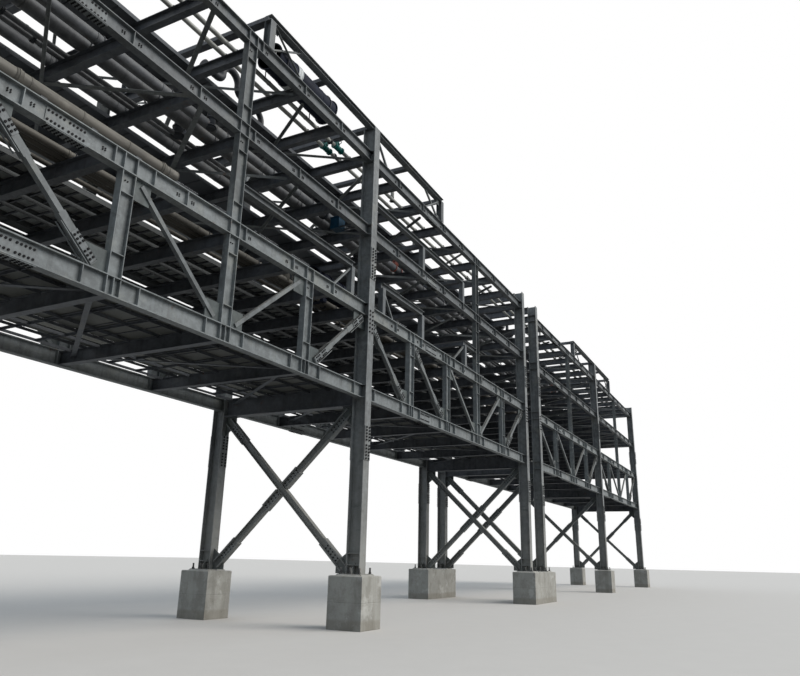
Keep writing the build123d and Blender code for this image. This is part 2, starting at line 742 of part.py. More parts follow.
# Ladder trays on tier two: two upright side rails each, resting on the cross beams
with BuildPart() as tier2_cable_trays:
    with BuildSketch(Plane.YZ.offset(bridge_start)):
        for k in range(TIER2_TRAYS):
            inner = TIER2_TRAY_START + k * (TIER2_TRAY_WIDTH + TIER2_TRAY_GAP) - HALF_GAUGE
            for edge in (inner, inner + TIER2_TRAY_WIDTH):
                with Locations((edge, tier2_seat + TRAY_RAIL_HEIGHT / 2)):
                    Rectangle(TRAY_RAIL_THICKNESS, TRAY_RAIL_HEIGHT)
    extrude(amount=bridge_end - bridge_start)
tier2_cable_trays.part.label = "tier2_cable_trays"
export_step(tier2_cable_trays.part, "parts/tier2_cable_trays.step")

# Sheet trays that nearly close the floor, with a long slit between them
with BuildPart() as floor_cable_trays:
    for start, end in runs:
        sheet_trays(start, end, floor_seat, FLOOR_TRAYS)
floor_cable_trays.part.label = "floor_cable_trays"
export_step(floor_cable_trays.part, "parts/floor_cable_trays.step")

# Sheet trays on tiers three and four, beyond the pipes
with BuildPart() as upper_cable_trays:
    sheet_trays(bridge_start, bridge_end, tier3_seat, TIER3_TRAYS)
    sheet_trays(bridge_start, bridge_end, tier4_seat, TIER4_TRAYS)
upper_cable_trays.part.label = "upper_cable_trays"
export_step(upper_cable_trays.part, "parts/upper_cable_trays.step")
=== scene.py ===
"""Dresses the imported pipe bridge: finishes for its steel, and the plates, bolts, rungs and fittings on it.

Everything is in metres in the frame's own axes: +X along the bridge, +Y across it and +Z up.
"""

import logging
import math
from collections.abc import Iterator, Sequence
from dataclasses import dataclass
from enum import Enum, StrEnum
from functools import lru_cache

import bpy
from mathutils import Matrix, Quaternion, Vector


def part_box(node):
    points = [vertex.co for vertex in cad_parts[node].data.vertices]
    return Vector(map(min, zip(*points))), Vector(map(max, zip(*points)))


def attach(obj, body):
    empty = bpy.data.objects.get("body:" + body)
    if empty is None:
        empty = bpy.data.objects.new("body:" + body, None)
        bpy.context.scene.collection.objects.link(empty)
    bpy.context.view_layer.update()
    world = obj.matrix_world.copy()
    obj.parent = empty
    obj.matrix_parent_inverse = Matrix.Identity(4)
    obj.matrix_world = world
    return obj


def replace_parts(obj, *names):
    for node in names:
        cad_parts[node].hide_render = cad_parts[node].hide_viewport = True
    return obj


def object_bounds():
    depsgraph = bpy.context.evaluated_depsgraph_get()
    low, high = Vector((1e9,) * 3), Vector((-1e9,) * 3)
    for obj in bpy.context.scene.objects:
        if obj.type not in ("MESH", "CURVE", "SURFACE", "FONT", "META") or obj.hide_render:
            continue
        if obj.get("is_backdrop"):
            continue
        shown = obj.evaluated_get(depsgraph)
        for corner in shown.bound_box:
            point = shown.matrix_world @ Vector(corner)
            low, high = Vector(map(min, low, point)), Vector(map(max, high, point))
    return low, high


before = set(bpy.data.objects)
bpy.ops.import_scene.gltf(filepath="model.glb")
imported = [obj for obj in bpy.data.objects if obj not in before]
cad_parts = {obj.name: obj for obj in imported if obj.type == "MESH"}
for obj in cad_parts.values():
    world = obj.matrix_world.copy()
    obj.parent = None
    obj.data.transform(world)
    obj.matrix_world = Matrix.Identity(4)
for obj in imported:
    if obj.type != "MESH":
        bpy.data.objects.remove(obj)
cad_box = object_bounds()

LOG = logging.getLogger("pipe_bridge")
Triple = tuple[float, float, float]
Colour = Triple
UP = Vector((0, 0, 1))
ALONG = Vector((1, 0, 0))
ACROSS = Vector((0, 1, 0))
NEARLY = 0.01  # Two measures that differ by less are the same


# Shader sockets and finishes


class Signal:
    """One shader socket in an expression; each operator adds a Math node to its tree."""

    def __init__(self, shader: "Shader", socket: bpy.types.NodeSocket) -> None:
        """Keep the socket and the shader it belongs to."""
        self.shader = shader
        self.socket = socket

    def __add__(self, other: "Signal | float") -> "Signal":
        """Return self + other."""
        return self.shader.maths("ADD", self, other)

    def __sub__(self, other: "Signal | float") -> "Signal":
        """Return self - other."""
        return self.shader.maths("SUBTRACT", self, other)

    def __rsub__(self, other: float) -> "Signal":
        """Return other - self."""
        return self.shader.maths("SUBTRACT", other, self)

    def __mul__(self, other: "Signal | float") -> "Signal":
        """Return self * other."""
        return self.shader.maths("MULTIPLY", self, other)

    __radd__ = __add__
    __rmul__ = __mul__

    def ramp(self, low: float, high: float) -> "Signal":
        """Return a smooth step that rises from 0 at low to 1 at high."""
        sockets = {"Value": self, "From Min": low, "From Max": high}
        return self.shader.signal("ShaderNodeMapRange", "Result", {"interpolation_type": "SMOOTHSTEP"}, sockets)

    def clamped(self) -> "Signal":
        """Return self held between 0 and 1."""
        return self.shader.maths("ADD", self, 0.0, clamp=True)

    def fraction(self) -> "Signal":
        """Return what is left of self after its whole number."""
        return self.shader.maths("FRACT", self)


class Shader:
    """The nodes of one material, or of the sky, while they are laid out."""

    def __init__(self, owner: bpy.types.Material | bpy.types.World) -> None:
        """Start with an empty tree.

        Args:
            owner: the material or the world that the nodes belong to.
        """
        owner.use_nodes = True
        self.owner = owner
        self.tree = owner.node_tree
        self.tree.nodes.clear()

    @classmethod
    def named(cls, name: str) -> "Shader":
        """Start a new material of that name."""
        return cls(bpy.data.materials.new(name))

    def node(self, kind: str, settings: dict | None = None, sockets: dict | None = None) -> bpy.types.Node:
        """Add any node.

        Args:
            kind: the node's type.
            settings: its properties, set first.
            sockets: values or links of its inputs, by identifier, name or index.

        Returns:
            The new node.
        """
        node = self.tree.nodes.new(kind)
        for key, value in (settings or {}).items():
            setattr(node, key, value)
        by_id = {socket.identifier: socket for socket in node.inputs}
        for key, value in (sockets or {}).items():
            socket = node.inputs[key] if isinstance(key, int) else by_id.get(key) or node.inputs[key]
            source = value.socket if isinstance(value, Signal) else value
            if isinstance(source, bpy.types.NodeSocket):
                self.tree.links.new(source, socket)
            elif isinstance(source, tuple) and socket.type == "RGBA":
                socket.default_value = (*source, 1.0)
            else:
                socket.default_value = source
        return node

    def signal(self, kind: str, output: str, settings: dict | None = None, sockets: dict | None = None) -> Signal:
        """Add any node and return one of its outputs, by identifier or name."""
        outputs = self.node(kind, settings, sockets).outputs
        return Signal(self, next(socket for socket in outputs if output in (socket.identifier, socket.name)))

    def maths(self, operation: str, *values: Signal | float, clamp: bool = False) -> Signal:
        """Add one Math node and return its result, which clamp holds between 0 and 1."""
        settings = {"operation": operation, "use_clamp": clamp}
        return self.signal("ShaderNodeMath", "Value", settings, dict(enumerate(values)))

    def place(self, stretch: Triple = (1, 1, 1)) -> Signal:
        """Return the place on the object, multiplied along each axis."""
        place = self.signal("ShaderNodeTexCoord", "Object")
        return self.signal("ShaderNodeVectorMath", "Vector", {"operation": "MULTIPLY"}, {0: place, 1: stretch})

    def height_up(self) -> Signal:
        """Return the height above the ground, in metres."""
        return self.signal("ShaderNodeSeparateXYZ", "Z", {}, {0: self.place()})

    def facing_up(self) -> Signal:
        """Return how far the surface faces up, from -1 to 1."""
        normal = self.signal("ShaderNodeNewGeometry", "Normal")
        return self.signal("ShaderNodeSeparateXYZ", "Z", {}, {0: normal})

    def noise(self, scale: float, detail: float = 4.0, stretch: Triple = (1, 1, 1), roughness: float = 0.55) -> Signal:
        """Add a noise texture.

        Args:
            scale: patches to the metre.
            detail: octaves.
            stretch: factors on the three axes.
            roughness: weight of the finer octaves.

        Returns:
            Its value, near 0.5 on average.
        """
        sockets = {"Vector": self.place(stretch), "Scale": scale, "Detail": detail, "Roughness": roughness}
        return self.signal("ShaderNodeTexNoise", "Fac", {}, sockets)

    def cells(self, scale: float) -> Signal:
        """Return the distance to the nearest of scattered points."""
        return self.signal("ShaderNodeTexVoronoi", "Distance", {}, {"Vector": self.place(), "Scale": scale})

    def mix(self, factor: Signal | float, first: "Signal | Colour", second: "Signal | Colour") -> Signal:
        """Blend two colours, from first at 0 to second at 1."""
        sockets = {"Factor_Float": factor, "A_Color": first, "B_Color": second}
        return self.signal("ShaderNodeMix", "Result_Color", {"data_type": "RGBA"}, sockets)

    def scaled(self, colour: "Signal | Colour", factor: Signal) -> Signal:
        """Return a colour made lighter or darker by a factor."""
        sockets = {"Vector": colour, "Scale": factor}
        return self.signal("ShaderNodeVectorMath", "Vector", {"operation": "SCALE"}, sockets)

    def seen_directly(self) -> Signal:
        """Tell the rays that show a surface from those that carry its light.

        Returns:
            1 for rays from the camera and in gloss or glass, and 0 for all others.
        """
        rays = self.node("ShaderNodeLightPath").outputs
        camera, glossy, clear = (Signal(self, rays[f"Is {kind} Ray"]) for kind in ("Camera", "Glossy", "Transmission"))
        return self.maths("MAXIMUM", camera, self.maths("MAXIMUM", glossy, clear))

    def surface(
        self,
        colour: "Signal | Colour",
        roughness: Signal | float,
        height: Signal,
        depth: float,
        metallic: float = 0.0,
        sheen: float = 0.5,
    ) -> Signal:
        """Join a surface's values in one shader.

        Args:
            colour: base colour.
            roughness: roughness.
            height: bump height, about 0 to 1.
            depth: what a height of 1 stands for, in metres.
            metallic: metallic value.
            sheen: specular level.

        Returns:
            The shader's output.
        """
        bump = self.signal("ShaderNodeBump", "Normal", {}, {"Height": height, "Distance": depth, "Strength": 1.0})
        sockets = {"Base Color": colour, "Roughness": roughness, "Metallic": metallic, "Normal": bump}
        return self.signal("ShaderNodeBsdfPrincipled", "BSDF", {}, sockets | {"Specular IOR Level": sheen})

    def finished(self, surface: Signal) -> bpy.types.Material | bpy.types.World:
        """Send a shader to the output.

        Args:
            surface: the shader's output.

        Returns:
            The material or the world that it belongs to.
        """
        kind = "ShaderNodeOutputWorld" if isinstance(self.owner, bpy.types.World) else "ShaderNodeOutputMaterial"
        self.node(kind, {}, {"Surface": surface})
        return self.owner


def tinted(tone: Colour, *factors: float) -> Colour:
    """Return a colour with its channels multiplied by three factors, or all by one."""
    return tuple(c * f for c, f in zip(tone, factors if len(factors) == 3 else factors * 3))


DUST: Colour = (0.24, 0.225, 0.195)
# Pale dust tone, laid on low steel as painted ground-bounce light
LOW_DUST_AND_BOUNCE: Colour = (0.34, 0.325, 0.285)
RUST: Colour = (0.13, 0.055, 0.026)


@dataclass(frozen=True)
class SteelPaint:
    """Grey-blue paint: mottled, with runs of dirt, dust on what faces up, thin rust, painted ground-bounce light as
    pale dust on what stands low, and painted shade high up.
    """

    name: str
    tone: Colour
    dust: float = 0.75
    rust: float = 0.5
    gloss: float = 0.46
    sheen: float = 0.3
    # Strength of the painted ground-bounce light, in a pale dust tone, on what stands low
    low_dust: float = 0.0
    # Painted shade: how much darker the paint is made above the top chords
    darker_high: float = 0.0
    low_band: tuple[float, float] = (0.5, 3.2)
    high_band: tuple[float, float] = (4.21, 4.6)
    bump: float = 0.0016

    @lru_cache
    def material(self) -> bpy.types.Material:
        """Lay out the paint's nodes.

        Returns:
            The material, made once.
        """
        shader = Shader.named(self.name)
        clouds = shader.noise(0.8, 6.0, roughness=0.6)
        patches = shader.noise(5.0, 5.0)
        grain = shader.noise(70.0, 3.0)
        height_up = shader.height_up()
        runs = shader.noise(1.0, 5.0, stretch=(16.0, 16.0, 0.7)).ramp(0.45, 0.75)
        blots = shader.noise(14.0, 6.0, roughness=0.68).ramp(0.42, 0.62)
        level = 0.57 + 0.28 * clouds.ramp(0.32, 0.68) + 0.30 * patches.ramp(0.34, 0.66) + 0.28 * blots + 0.16 * grain
        # Painted shade: the paint darkens above the top chords, where the upper tiers lie in shade
        level = (level - 0.34 * runs) * (1 - self.darker_high * height_up.ramp(*self.high_band))
        colour = shader.scaled(self.tone, level)
        # Painted ground-bounce light: low parts are made paler in a dust tone, as if lit from the floor
        painted_bounce = (1 - height_up.ramp(*self.low_band)) * (0.55 + 0.45 * clouds.ramp(0.3, 0.7)) * self.low_dust
        colour = shader.mix(painted_bounce, colour, LOW_DUST_AND_BOUNCE)
        chalk = shader.noise(2.6, 8.0, roughness=0.72).ramp(0.52, 0.66) * 0.5
        colour = shader.mix(chalk, colour, tinted(self.tone, 1.6, 1.5, 1.32))
        worn = shader.noise(1.0, 7.0, stretch=(3.0, 3.0, 7.0), roughness=0.7).ramp(0.57, 0.66) * patches.ramp(0.42, 0.6)
        colour = shader.mix(0.5 * worn, colour, tinted(self.tone, 0.45))
        speck = shader.noise(9.0, 8.0, roughness=0.7).ramp(0.60, 0.70) * clouds.ramp(0.45, 0.62)
        drip = shader.noise(1.0, 6.0, stretch=(26.0, 26.0, 1.4)).ramp(0.66, 0.80) * patches.ramp(0.5, 0.7)
        rust = ((speck + drip) * self.rust).clamped()
        colour = shader.mix(rust, colour, RUST)
        lying = shader.facing_up().ramp(0.35, 0.9) * (0.45 + 0.55 * patches.ramp(0.3, 0.7))
        veil = 0.07 * clouds.ramp(0.4, 0.7)
        dust = ((lying + veil) * self.dust).clamped()
        colour = shader.mix(dust, colour, DUST)
        roughness = (self.gloss + 0.16 * patches + 0.3 * dust + 0.25 * rust).clamped()
        height = grain * 0.35 + patches * 0.5 + rust * 0.4 - worn * 0.2
        return shader.finished(shader.surface(colour, roughness, height, self.bump, sheen=self.sheen))


@dataclass(frozen=True)
class Concrete:
    """Cast concrete: board joints, blow holes, water stains and a darker foot."""

    name: str
    tone: Colour = (0.36, 0.345, 0.305)
    board: float = 0.31
    foot: float = 0.13
    damp_tone: Colour = (0.185, 0.17, 0.14)
    stain_tone: Colour = (0.17, 0.155, 0.13)
    pale_tone: Colour = (0.60, 0.58, 0.53)
    foot_tone: Colour = (0.19, 0.165, 0.125)
    hole_tone: Colour = (0.09, 0.08, 0.07)
    sheen: float = 0.35
    bump: float = 0.004

    @lru_cache
    def material(self) -> bpy.types.Material:
        """Lay out the concrete's nodes.

        Returns:
            The material, made once.
        """
        shader = Shader.named(self.name)
        clouds = shader.noise(2.2, 7.0, roughness=0.62)
        fine = shader.noise(34.0, 6.0, roughness=0.7)
        height_up = shader.height_up()
        bands = (height_up * (1 / self.board)).fraction()
        joint = 1 - bands.ramp(0.0, 0.03) + bands.ramp(0.975, 1.0)
        holes = (1 - shader.cells(26.0).ramp(0.05, 0.12)) * shader.noise(11.0, 2.0).ramp(0.5, 0.6)
        stains = shader.noise(1.0, 6.0, stretch=(9.0, 9.0, 1.1)).ramp(0.48, 0.72)
        colour = shader.scaled(self.tone, 0.56 + 0.62 * clouds + 0.24 * fine - 0.06 * joint)
        damp = shader.noise(4.3, 7.0, stretch=(1.0, 1.0, 0.8), roughness=0.68).ramp(0.47, 0.60)
        colour = shader.mix(0.38 * damp, colour, self.damp_tone)
        colour = shader.mix(0.4 * stains, colour, self.stain_tone)
        pale = shader.noise(3.1, 6.0, roughness=0.65).ramp(0.56, 0.66)
        colour = shader.mix(0.42 * pale, colour, self.pale_tone)
        wet = 1 - (height_up + 0.05 * clouds).ramp(self.foot - 0.015, self.foot + 0.03)
        colour = shader.mix(0.42 * wet, colour, self.foot_tone)
        colour = shader.mix(0.7 * holes, colour, self.hole_tone)
        roughness = (0.82 + 0.12 * fine).clamped()
        height = fine * 0.6 + clouds * 0.7 - 0.5 * joint - 1.2 * holes
        return shader.finished(shader.surface(colour, roughness, height, self.bump, sheen=self.sheen))


@dataclass(frozen=True)
class Galvanised:
    """Dull zinc with small crystal patches, white bloom and dust."""

    name: str
    tone: Colour
    metallic: float = 0.3
    dust: float = 0.5
    sheen: float = 0.3
    bump: float = 0.0008

    @lru_cache
    def material(self) -> bpy.types.Material:
        """Lay out the zinc's nodes.

        Returns:
            The material, made once.
        """
        shader = Shader.named(self.name)
        crystals = shader.cells(60.0)
        clouds = shader.noise(1.7, 6.0)
        fine = shader.noise(45.0, 4.0)
        colour = shader.scaled(self.tone, 0.60 + 0.34 * crystals + 0.55 * clouds + 0.12 * fine)
        bloom = shader.noise(4.0, 7.0, roughness=0.7).ramp(0.58, 0.74)
        colour = shader.mix(0.3 * bloom, colour, tinted(self.tone, 1.9))
        dust = (shader.facing_up().ramp(0.3, 0.9) * clouds.ramp(0.3, 0.65) * self.dust).clamped()
        colour = shader.mix(dust, colour, DUST)
        roughness = (0.5 + 0.2 * clouds + 0.1 * crystals + 0.25 * dust).clamped()
        height = crystals * 0.4 + fine * 0.4
        return shader.finished(shader.surface(colour, roughness, height, self.bump, self.metallic, self.sheen))


@dataclass(frozen=True)
class Lagging:
    """Sheet cladding round a pipe: faint dents, dirt along its length and pale dust on top."""

    name: str
    tone: Colour
    dust: float
    metallic: float = 0.15
    sheen: float = 0.35
    bump: float = 0.004

    @lru_cache
    def material(self) -> bpy.types.Material:
        """Lay out the cladding's nodes.

        Returns:
            The material, made once.
        """
        shader = Shader.named(self.name)
        clouds = shader.noise(1.6, 6.0, stretch=(0.6, 1.6, 1.6))
        dents = shader.noise(7.0, 3.0, stretch=(0.5, 1.0, 1.0))
        fine = shader.noise(60.0, 4.0)
        colour = shader.scaled(self.tone, 0.56 + 0.7 * clouds + 0.2 * fine)
        dirt = shader.noise(1.0, 7.0, stretch=(2.2, 8.0, 8.0), roughness=0.68).ramp(0.46, 0.62)
        colour = shader.mix(0.6 * dirt, colour, tinted(self.tone, 0.40))
        scuffs = shader.noise(5.0, 7.0, roughness=0.7).ramp(0.54, 0.66)
        colour = shader.mix(0.5 * scuffs, colour, tinted(self.tone, 1.7))
        warm = shader.noise(2.6, 5.0).ramp(0.58, 0.75)
        colour = shader.mix(0.3 * warm, colour, tinted(self.tone, 1.1, 0.85, 0.62))
        dust = (shader.facing_up().ramp(0.1, 0.95) * (0.5 + 0.5 * clouds) * self.dust).clamped()
        colour = shader.mix(dust, colour, tinted(DUST, 1.35, 1.35, 1.3))
        roughness = (0.5 + 0.16 * clouds + 0.2 * dust).clamped()
        height = dents + fine * 0.12
        return shader.finished(shader.surface(colour, roughness, height, self.bump, self.metallic, self.sheen))


class Finishes(Enum):
    """The finishes of the bridge."""

    TRUSS = SteelPaint("truss_paint", (0.152, 0.164, 0.164), darker_high=0.38)
    COLUMN = SteelPaint("column_paint", (0.150, 0.157, 0.156), low_dust=0.6)
    # Painted shade: tone darker than the truss paint, for the shade on the upper tiers
    TIER = SteelPaint("tier_paint_shaded", (0.098, 0.106, 0.110))
    CROSS = SteelPaint("cross_beam_paint", (0.067, 0.073, 0.082), dust=0.6, rust=0.6)
    BRACE = SteelPaint("brace_paint", (0.122, 0.131, 0.131), low_dust=0.7)
    PLATE = SteelPaint("plate_paint", (0.140, 0.151, 0.152), rust=0.3, low_dust=0.55)
    GUSSET = SteelPaint("gusset_paint", (0.062, 0.073, 0.072), rust=0.3, low_dust=0.3)
    FOOT = SteelPaint("foot_paint", (0.125, 0.130, 0.128), dust=1.0, rust=0.9, low_dust=0.4)
    BOLT = SteelPaint("bolt_steel", (0.005, 0.005, 0.006), dust=0.12, rust=0.12, gloss=0.5, sheen=0.1)
    NUT = SteelPaint("anchor_steel", (0.040, 0.040, 0.040), dust=0.6, rust=0.9, gloss=0.4)
    PIPE = SteelPaint("pipe_steel", (0.085, 0.088, 0.092), rust=0.7)
    DARK = SteelPaint("dark_fitting_steel", (0.026, 0.029, 0.035), dust=0.4, rust=0.4)
    CONCRETE = Concrete("plinth_concrete_cast")
    GROUT = Concrete("grout", (0.40, 0.385, 0.345), board=9.0)
    TRAY = Galvanised("tray_zinc", (0.072, 0.076, 0.076))
    FLOOR_TRAY = Galvanised("floor_tray_zinc", (0.082, 0.084, 0.077), 0.15, 0.9)
    UPPER_TRAY = Galvanised("upper_tray_zinc", (0.060, 0.065, 0.072), 0.2, 0.6)
    LAGGING = Lagging("dusty_lagging_sheet", (0.105, 0.097, 0.082), 0.32)
    PIPE_LAGGING = Lagging("pipe_lagging_sheet", (0.088, 0.081, 0.068), 0.35)
    PALE_LAGGING = Lagging("pale_lagging_sheet", (0.34, 0.34, 0.315), 0.6)
    DUCT = Lagging("duct_sheet", (0.012, 0.015, 0.026), 0.0, 0.0, 0.08)
    # Painted highlight: the duct's ring is made very pale so that it reads as lit
    GRILLE = Galvanised("duct_ring_highlight_zinc", (0.55, 0.56, 0.55), 0.1, 0.3)
    LID = Galvanised("tray_lid_zinc", (0.30, 0.306, 0.298), 0.1, 0.5)
    TEAL = SteelPaint("valve_teal", (0.005, 0.115, 0.100), dust=0.2, rust=0.2, gloss=0.3)
    BLUE = SteelPaint("box_blue", (0.003, 0.030, 0.058), dust=0.15, rust=0.2, gloss=0.4, sheen=0.15)
    RED = SteelPaint("handwheel_red", (0.30, 0.075, 0.050), dust=0.35, rust=0.3, gloss=0.3)

    def material(self) -> bpy.types.Material:
        """Return the finish's material, made once."""
        return self.value.material()


NODE_FINISHES: dict[Finishes, str] = {
    Finishes.CONCRETE: "concrete_plinths",
    Finishes.FOOT: "base_plates foot_ribs",
    Finishes.COLUMN: "near_columns far_columns",
    Finishes.TRUSS: "near_bottom_chord near_top_chord far_bottom_chord far_top_chord near_posts far_posts",
    Finishes.GUSSET: "near_gussets far_gussets bent_brace_gussets",
    Finishes.TIER: (
        "near_tier3_beam near_tier4_beam far_tier3_beam far_tier4_beam "
        "stub_frame_posts stub_frame_rails raised_frame_posts raised_frame_rails"
    ),
    Finishes.CROSS: (
        "bent_cross_beams floor_cross_beams tier2_cross_beams tier3_cross_beams tier4_cross_beams "
        "column_head_beams stub_frame_cross_beams raised_frame_cross_beams floor_plan_bracing"
    ),
    Finishes.BRACE: "bent_cross_braces near_diagonals far_diagonals tier3_plan_bracing tier4_plan_bracing knee_braces",
    Finishes.LAGGING: "dusty_service_pipe",
    Finishes.PIPE_LAGGING: "tier2_pipes",
    Finishes.PIPE: "tier3_pipes",
    Finishes.PALE_LAGGING: "tier4_pipes",
    Finishes.DUCT: "vent_duct",
    Finishes.TRAY: "tier2_cable_trays",
    Finishes.FLOOR_TRAY: "floor_cable_trays",
    Finishes.UPPER_TRAY: "upper_cable_trays",
}


# Boxes and meshes


@dataclass(frozen=True)
class Box:
    """Lowest and highest corner of a node or of one of its solids."""

    low: Vector
    high: Vector

    @property
    def middle(self) -> Vector:
        """Return the point halfway between the corners."""
        return (self.low + self.high) / 2

    @property
    def size(self) -> Vector:
        """Return the lengths of the sides."""
        return self.high - self.low

    @property
    def radius(self) -> float:
        """Return half the width, the radius of a pipe that runs along the bridge."""
        return self.size.y / 2

    def axis_at(self, x: float) -> Vector:
        """Return a point on the middle line along the bridge."""
        return Vector((x, self.middle.y, self.middle.z))


@dataclass(frozen=True)
class Section:
    """Depth, width, flange and web of an H section."""

    depth: float
    width: float
    flange: float
    web: float


class Shell:
    """Points and faces of one piece while it is made."""

    def __init__(self) -> None:
        """Start empty."""
        self.points: list[Vector] = []
        self.faces: list[tuple[int, ...]] = []
        self.rounded: list[bool] = []

    def push(
        self, start: Vector, end: Vector, outline: Sequence[tuple[float, float]], up: Vector = UP, rounded: bool = False
    ) -> None:
        """Add a solid by pushing an outline along a line.

        Args:
            start: where the outline's own (0, 0) starts.
            end: where it ends.
            outline: points as (side, up), running anticlockwise.
            up: direction of the outline's second axis.
            rounded: whether the sides are shaded smooth.
        """
        along = (end - start).normalized()
        side = along.cross(up).normalized()
        rise = side.cross(along)
        ring = [side * u + rise * v for u, v in outline]
        count, base = len(ring), len(self.points)
        self.points += [start + p for p in ring] + [end + p for p in ring]
        self.faces.append(tuple(range(base, base + count)))
        self.faces.append(tuple(range(base + 2 * count - 1, base + count - 1, -1)))
        self.rounded += [False, False]
        for i in range(count):
            j = (i + 1) % count
            self.faces.append((base + i, base + count + i, base + count + j, base + j))
            self.rounded.append(rounded)

    def bar(self, start: Vector, end: Vector, width: float, height: float, up: Vector = UP) -> None:
        """Add a straight bar of rectangular section; width is sideways, height along up."""
        w, h = width / 2, height / 2
        self.push(start, end, ((-w, -h), (w, -h), (w, h), (-w, h)), up)

    def block(self, low: Sequence[float], high: Sequence[float]) -> None:
        """Add a block whose edges lie along the axes.

        Args:
            low: one corner.
            high: the opposite corner.
        """
        (x0, x1), (y0, y1), (z0, z1) = (sorted(pair) for pair in zip(low, high))
        start, end = Vector((x0, (y0 + y1) / 2, (z0 + z1) / 2)), Vector((x1, (y0 + y1) / 2, (z0 + z1) / 2))
        self.bar(start, end, y1 - y0, z1 - z0)

    def angle(self, start: Vector, end: Vector, leg: float, thickness: float, up: Vector = UP) -> None:
        """Add an L bar with its corner on the line, one leg along up and one sideways."""
        outline = ((0, 0), (leg, 0), (leg, thickness), (thickness, thickness), (thickness, leg), (0, leg))
        self.push(start, end, outline, up)

    def h_bar(self, start: Vector, end: Vector, section: Section, up: Vector) -> None:
        """Add an H bar centred on a line.

        Args:
            start: where the line starts.
            end: where it ends.
            section: the bar's section.
            up: direction of the web.
        """
        d, w, e, f = section.depth / 2, section.width / 2, section.web / 2, section.depth / 2 - section.flange
        right = ((-w, -d), (w, -d), (w, -f), (e, -f), (e, f), (w, f))
        self.push(start, end, right + tuple((-u, -v) for u, v in right), up)

    def rod(self, start: Vector, end: Vector, radius: float, sides: int = 12) -> None:
        """Add a round bar, or a hexagon when it has six sides.

        Args:
            start: where its middle line starts.
            end: where that ends.
            radius: its radius.
            sides: its number of sides.
        """
        turn = 2 * math.pi / sides
        outline = [(radius * math.cos(k * turn), radius * math.sin(k * turn)) for k in range(sides)]
        self.push(start, end, outline, self.level_with(end - start), rounded=sides > 6)

    def bolt(self, seat: Vector, axis: Vector, radius: float, height: float) -> None:
        """Add a hexagonal bolt head on a face."""
        self.rod(seat, seat + axis * height, radius, 6)

    def band(self, pipe: Box, x: float, width: float, lift: float, sides: int) -> None:
        """Add a band round a pipe along the bridge, from an x on, that stands off it by lift."""
        self.rod(pipe.axis_at(x), pipe.axis_at(x + width), pipe.radius + lift, sides)

    def tube(self, path: Sequence[Vector], radius: float, sides: int) -> None:
        """Add a closed round tube.

        Args:
            path: points on its middle line.
            radius: its radius.
            sides: its number of sides.
        """
        base, count = len(self.points), len(path)
        tangent = (path[1] - path[0]).normalized()
        side = tangent.cross(self.level_with(tangent)).normalized()
        for k, point in enumerate(path):
            before, after = path[max(k - 1, 0)], path[min(k + 1, count - 1)]
            tangent = (after - before).normalized()
            side = (side - tangent * side.dot(tangent)).normalized()
            rise = side.cross(tangent)
            for s in range(sides):
                a = 2 * math.pi * s / sides
                self.points.append(point + (side * math.cos(a) + rise * math.sin(a)) * radius)
        self.faces.append(tuple(range(base, base + sides)))
        last = base + (count - 1) * sides
        self.faces.append(tuple(range(last + sides - 1, last - 1, -1)))
        self.rounded += [False, False]
        for k in range(count - 1):
            for s in range(sides):
                a, b = base + k * sides + s, base + k * sides + (s + 1) % sides
                self.faces.append((a, a + sides, b + sides, b))
                self.rounded.append(True)

    @staticmethod
    def level_with(direction: Vector, steep: float = 0.9) -> Vector:
        """Return an outline's second axis that lies well away from the bar's own direction."""
        return UP if abs(direction.normalized().z) < steep else ALONG

    def piece(self, name: str, finish: Finishes, slot: str) -> bpy.types.Object:
        """Turn the shell into an object that rides with the bridge.

        Args:
            name: the piece's name.
            finish: its finish.
            slot: not used.

        Returns:
            The new object.
        """
        mesh = bpy.data.meshes.new(name)
        mesh.from_pydata([tuple(p) for p in self.points], [], self.faces)
        mesh.polygons.foreach_set("use_smooth", self.rounded)
        mesh.materials.append(finish.material())
        mesh.update()
        piece = bpy.data.objects.new(name, mesh)
        bpy.context.scene.collection.objects.link(piece)
        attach(piece, "root")
        LOG.info("%s: %d faces", name, len(self.faces))
        return piece


class Kit:
    """The shells of one sub-assembly: its bars, plates, washers and bolts."""

    def __init__(self) -> None:
        """Start with empty shells."""
        self.bars, self.plates, self.washers, self.bolts = Shell(), Shell(), Shell(), Shell()


def arc(centre: Vector, first: Vector, second: Vector, start: float, end: float, steps: int) -> list[Vector]:
    """Lay points round a centre, from one angle to another.

    Args:
        centre: the arc's centre.
        first: the radius at angle 0, as a vector.
        second: the radius at a quarter turn.
        start: first angle, in turns.
        end: last angle, in turns.
        steps: pieces in the arc.

    Returns:
        The arc's points.
    """
    turns = [2 * math.pi * (start + (end - start) * k / steps) for k in range(steps + 1)]
    return [centre + first * math.cos(a) + second * math.sin(a) for a in turns]


def evenly(start: float, length: float, count: int) -> list[float]:
    """Return the middles of equal parts of a length."""
    return [start + (k + 0.5) * length / count for k in range(count)]


def stepped(start: float, end: float, pitch: float) -> Iterator[float]:
    """Step through a length.

    Args:
        start: the first place.
        end: the limit that all places stay below.
        pitch: the distance from one place to the next.

    Yields:
        Each place.
    """
    while start < end:
        yield start
        start += pitch


# The bridge's plan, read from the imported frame


class Side(StrEnum):
    """The two long sides of the bridge."""

    NEAR = "near"
    FAR = "far"

    @property
    def out(self) -> int:
        """Return the sign of y on that side."""
        return -1 if self is Side.NEAR else 1


class Tier(StrEnum):
    """The tiers above the floor."""

    SECOND = "tier2"
    THIRD = "tier3"
    FOURTH = "tier4"

    @property
    def seat(self) -> float:
        """Return the height of the top of the tier's cross beams."""
        return node_box(f"{self}_cross_beams").high.z


def node_box(name: str) -> Box:
    """Return the box of a node."""
    low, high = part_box(name)
    return Box(Vector(low), Vector(high))


